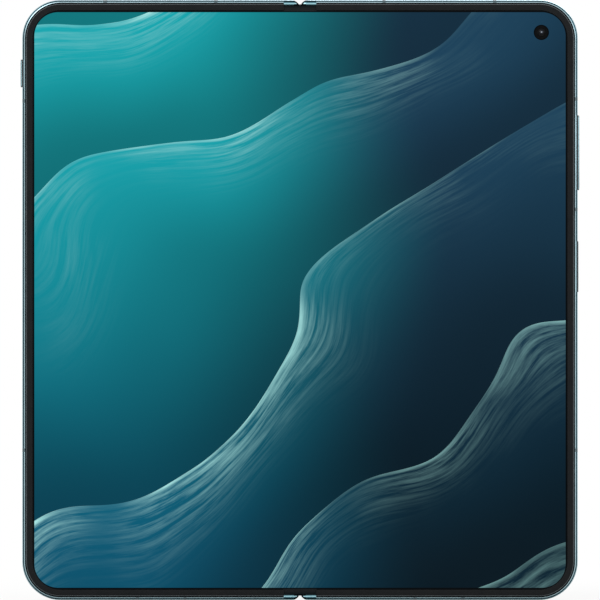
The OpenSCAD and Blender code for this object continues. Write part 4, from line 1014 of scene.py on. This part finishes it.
# ---------- finishes of the CAD nodes ----------
FINISH = {
    anodised: ["right_frame", "left_frame"],
    tray_metal: ["sim_tray"],
    port_metal: ["usb_port"],
    polished_key: ["volume_rocker", "power_button"],
    knurled_key: ["alert_slider"],
    band_resin: ["right_antenna_bands", "left_antenna_bands"],
    screen: ["display_right", "display_left"],
    rolled_steel: ["right_support_plate", "left_support_plate", "right_wing_plate", "left_wing_plate",
                   "vibration_motor", "lens_rings"],
    etched_glass: ["back_glass"],
    cover_gloss: ["cover_glass"],
    island_metal: ["island_base"],
    island_black: ["island_glass", "cover_display"],
    sapphire: ["lens_glasses"],
    sintered: ["right_swing_arms", "left_swing_arms", "hinge_bases"],
    ground_steel: ["right_idler_gears", "left_idler_gears", "friction_washers"],
    black_screw: ["board_screws", "right_hinge_screws", "left_hinge_screws", "hinge_base_screws"],
    spine_metal: ["hinge_spine"],
    moulded: ["spine_end_caps", "loudspeaker", "earpiece_speaker", "slider_switch"],
    baffle_black: ["inner_camera", "cover_camera"],
    pressed_nickel: ["board_shields", "left_board_shields", "sim_socket"],
    plated_magnet: ["right_magnets", "left_magnets"],
    pouch_foil: ["right_battery", "left_battery"],
    switch_brass: ["key_switches"],
    solder_mask: ["main_board", "left_board"],
    enamelled_copper: ["charging_coil"],
}
for material, names in FINISH.items():
    for name in names:
        nodes[name].data.materials.clear()
        nodes[name].data.materials.append(material)

# ---------- stage and light ----------
FLOOR_M = 6
FLOOR_DROP_M = 1e-5
SHADOW_M = (0.12, 0.5)
scene = bpy.context.scene
scene.view_settings.view_transform = "Standard"

corners = [(x * FLOOR_M, y * FLOOR_M, -FLOOR_DROP_M) for x, y in ((-1, -1), (1, -1), (1, 1), (-1, 1))]
floor_mesh = bpy.data.meshes.new("studio_floor")
floor_mesh.from_pydata(corners, [], [(0, 1, 2, 3)])
# Pale paper that keeps the shadow near the object and turns to the white of the backdrop further out
pale_paper, paper_tree, spot, paper = blank("pale_paper_floor", Base_Color="#eeeeec", Roughness=0.9,
                                            Specular_IOR_Level=0.0)
seen = wire(paper_tree, "LightPath").outputs["Is Camera Ray"]
white = wire(paper_tree, "Emission", {"Color": (1, 1, 1, 1), "Strength": 1.0})
away = wire(paper_tree, "VectorMath.LENGTH", [spot])
far = wire(paper_tree, "MapRange.SMOOTHSTEP", {"Value": away, "From": SHADOW_M, "To": (0.84, 1)})
share = wire(paper_tree, "Math.MULTIPLY", [seen, far])
both = wire(paper_tree, "MixShader", [share, paper, white])
plug(paper_tree.nodes["Material Output"], {"Surface": both})
floor_mesh.materials.append(pale_paper)
floor = bpy.data.objects.new("studio_floor", floor_mesh)
scene.collection.objects.link(floor)

# A white world for the camera, for reflections and through glass, and half as bright as a light
world = bpy.data.worlds.new("soft_white_studio")
world.use_nodes = True
scene.world = world
sky = world.node_tree
rays = wire(sky, "LightPath").outputs
plain = wire(sky, "Math.MAXIMUM", [rays["Is Camera Ray"], rays["Is Transmission Ray"]])
plain = wire(sky, "Math.MAXIMUM", [plain, rays["Is Glossy Ray"]])
ambient = wire(sky, "Background", {"Color": (1, 1, 1, 1), "Strength": 0.5})
backdrop = wire(sky, "Background", {"Color": (1, 1, 1, 1), "Strength": 1.0})
mixed = wire(sky, "MixShader", [plain, ambient, backdrop])
wire(sky, "OutputWorld", {"Surface": mixed}).is_active_output = True


def soft_box(name, place, size, power):
    """A square lamp that faces the middle of the phone; place and size in metres, power in watts."""
    lamp = bpy.data.lights.new(name, "AREA")
    lamp.energy = power
    lamp.size = size
    holder = bpy.data.objects.new(name, lamp)
    holder.location = place
    holder.rotation_mode = "QUATERNION"
    holder.rotation_quaternion = (Vector((0, 0, BODY_H / 2 * MM)) - Vector(place)).to_track_quat("-Z", "Y")
    scene.collection.objects.link(holder)


soft_box("key_box", (-0.7, -0.8, 0.9), 0.9, 9)
soft_box("fill_box", (0.9, -0.5, 0.4), 0.5, 3)
soft_box("back_box", (0.3, 0.9, 0.7), 0.6, 7)
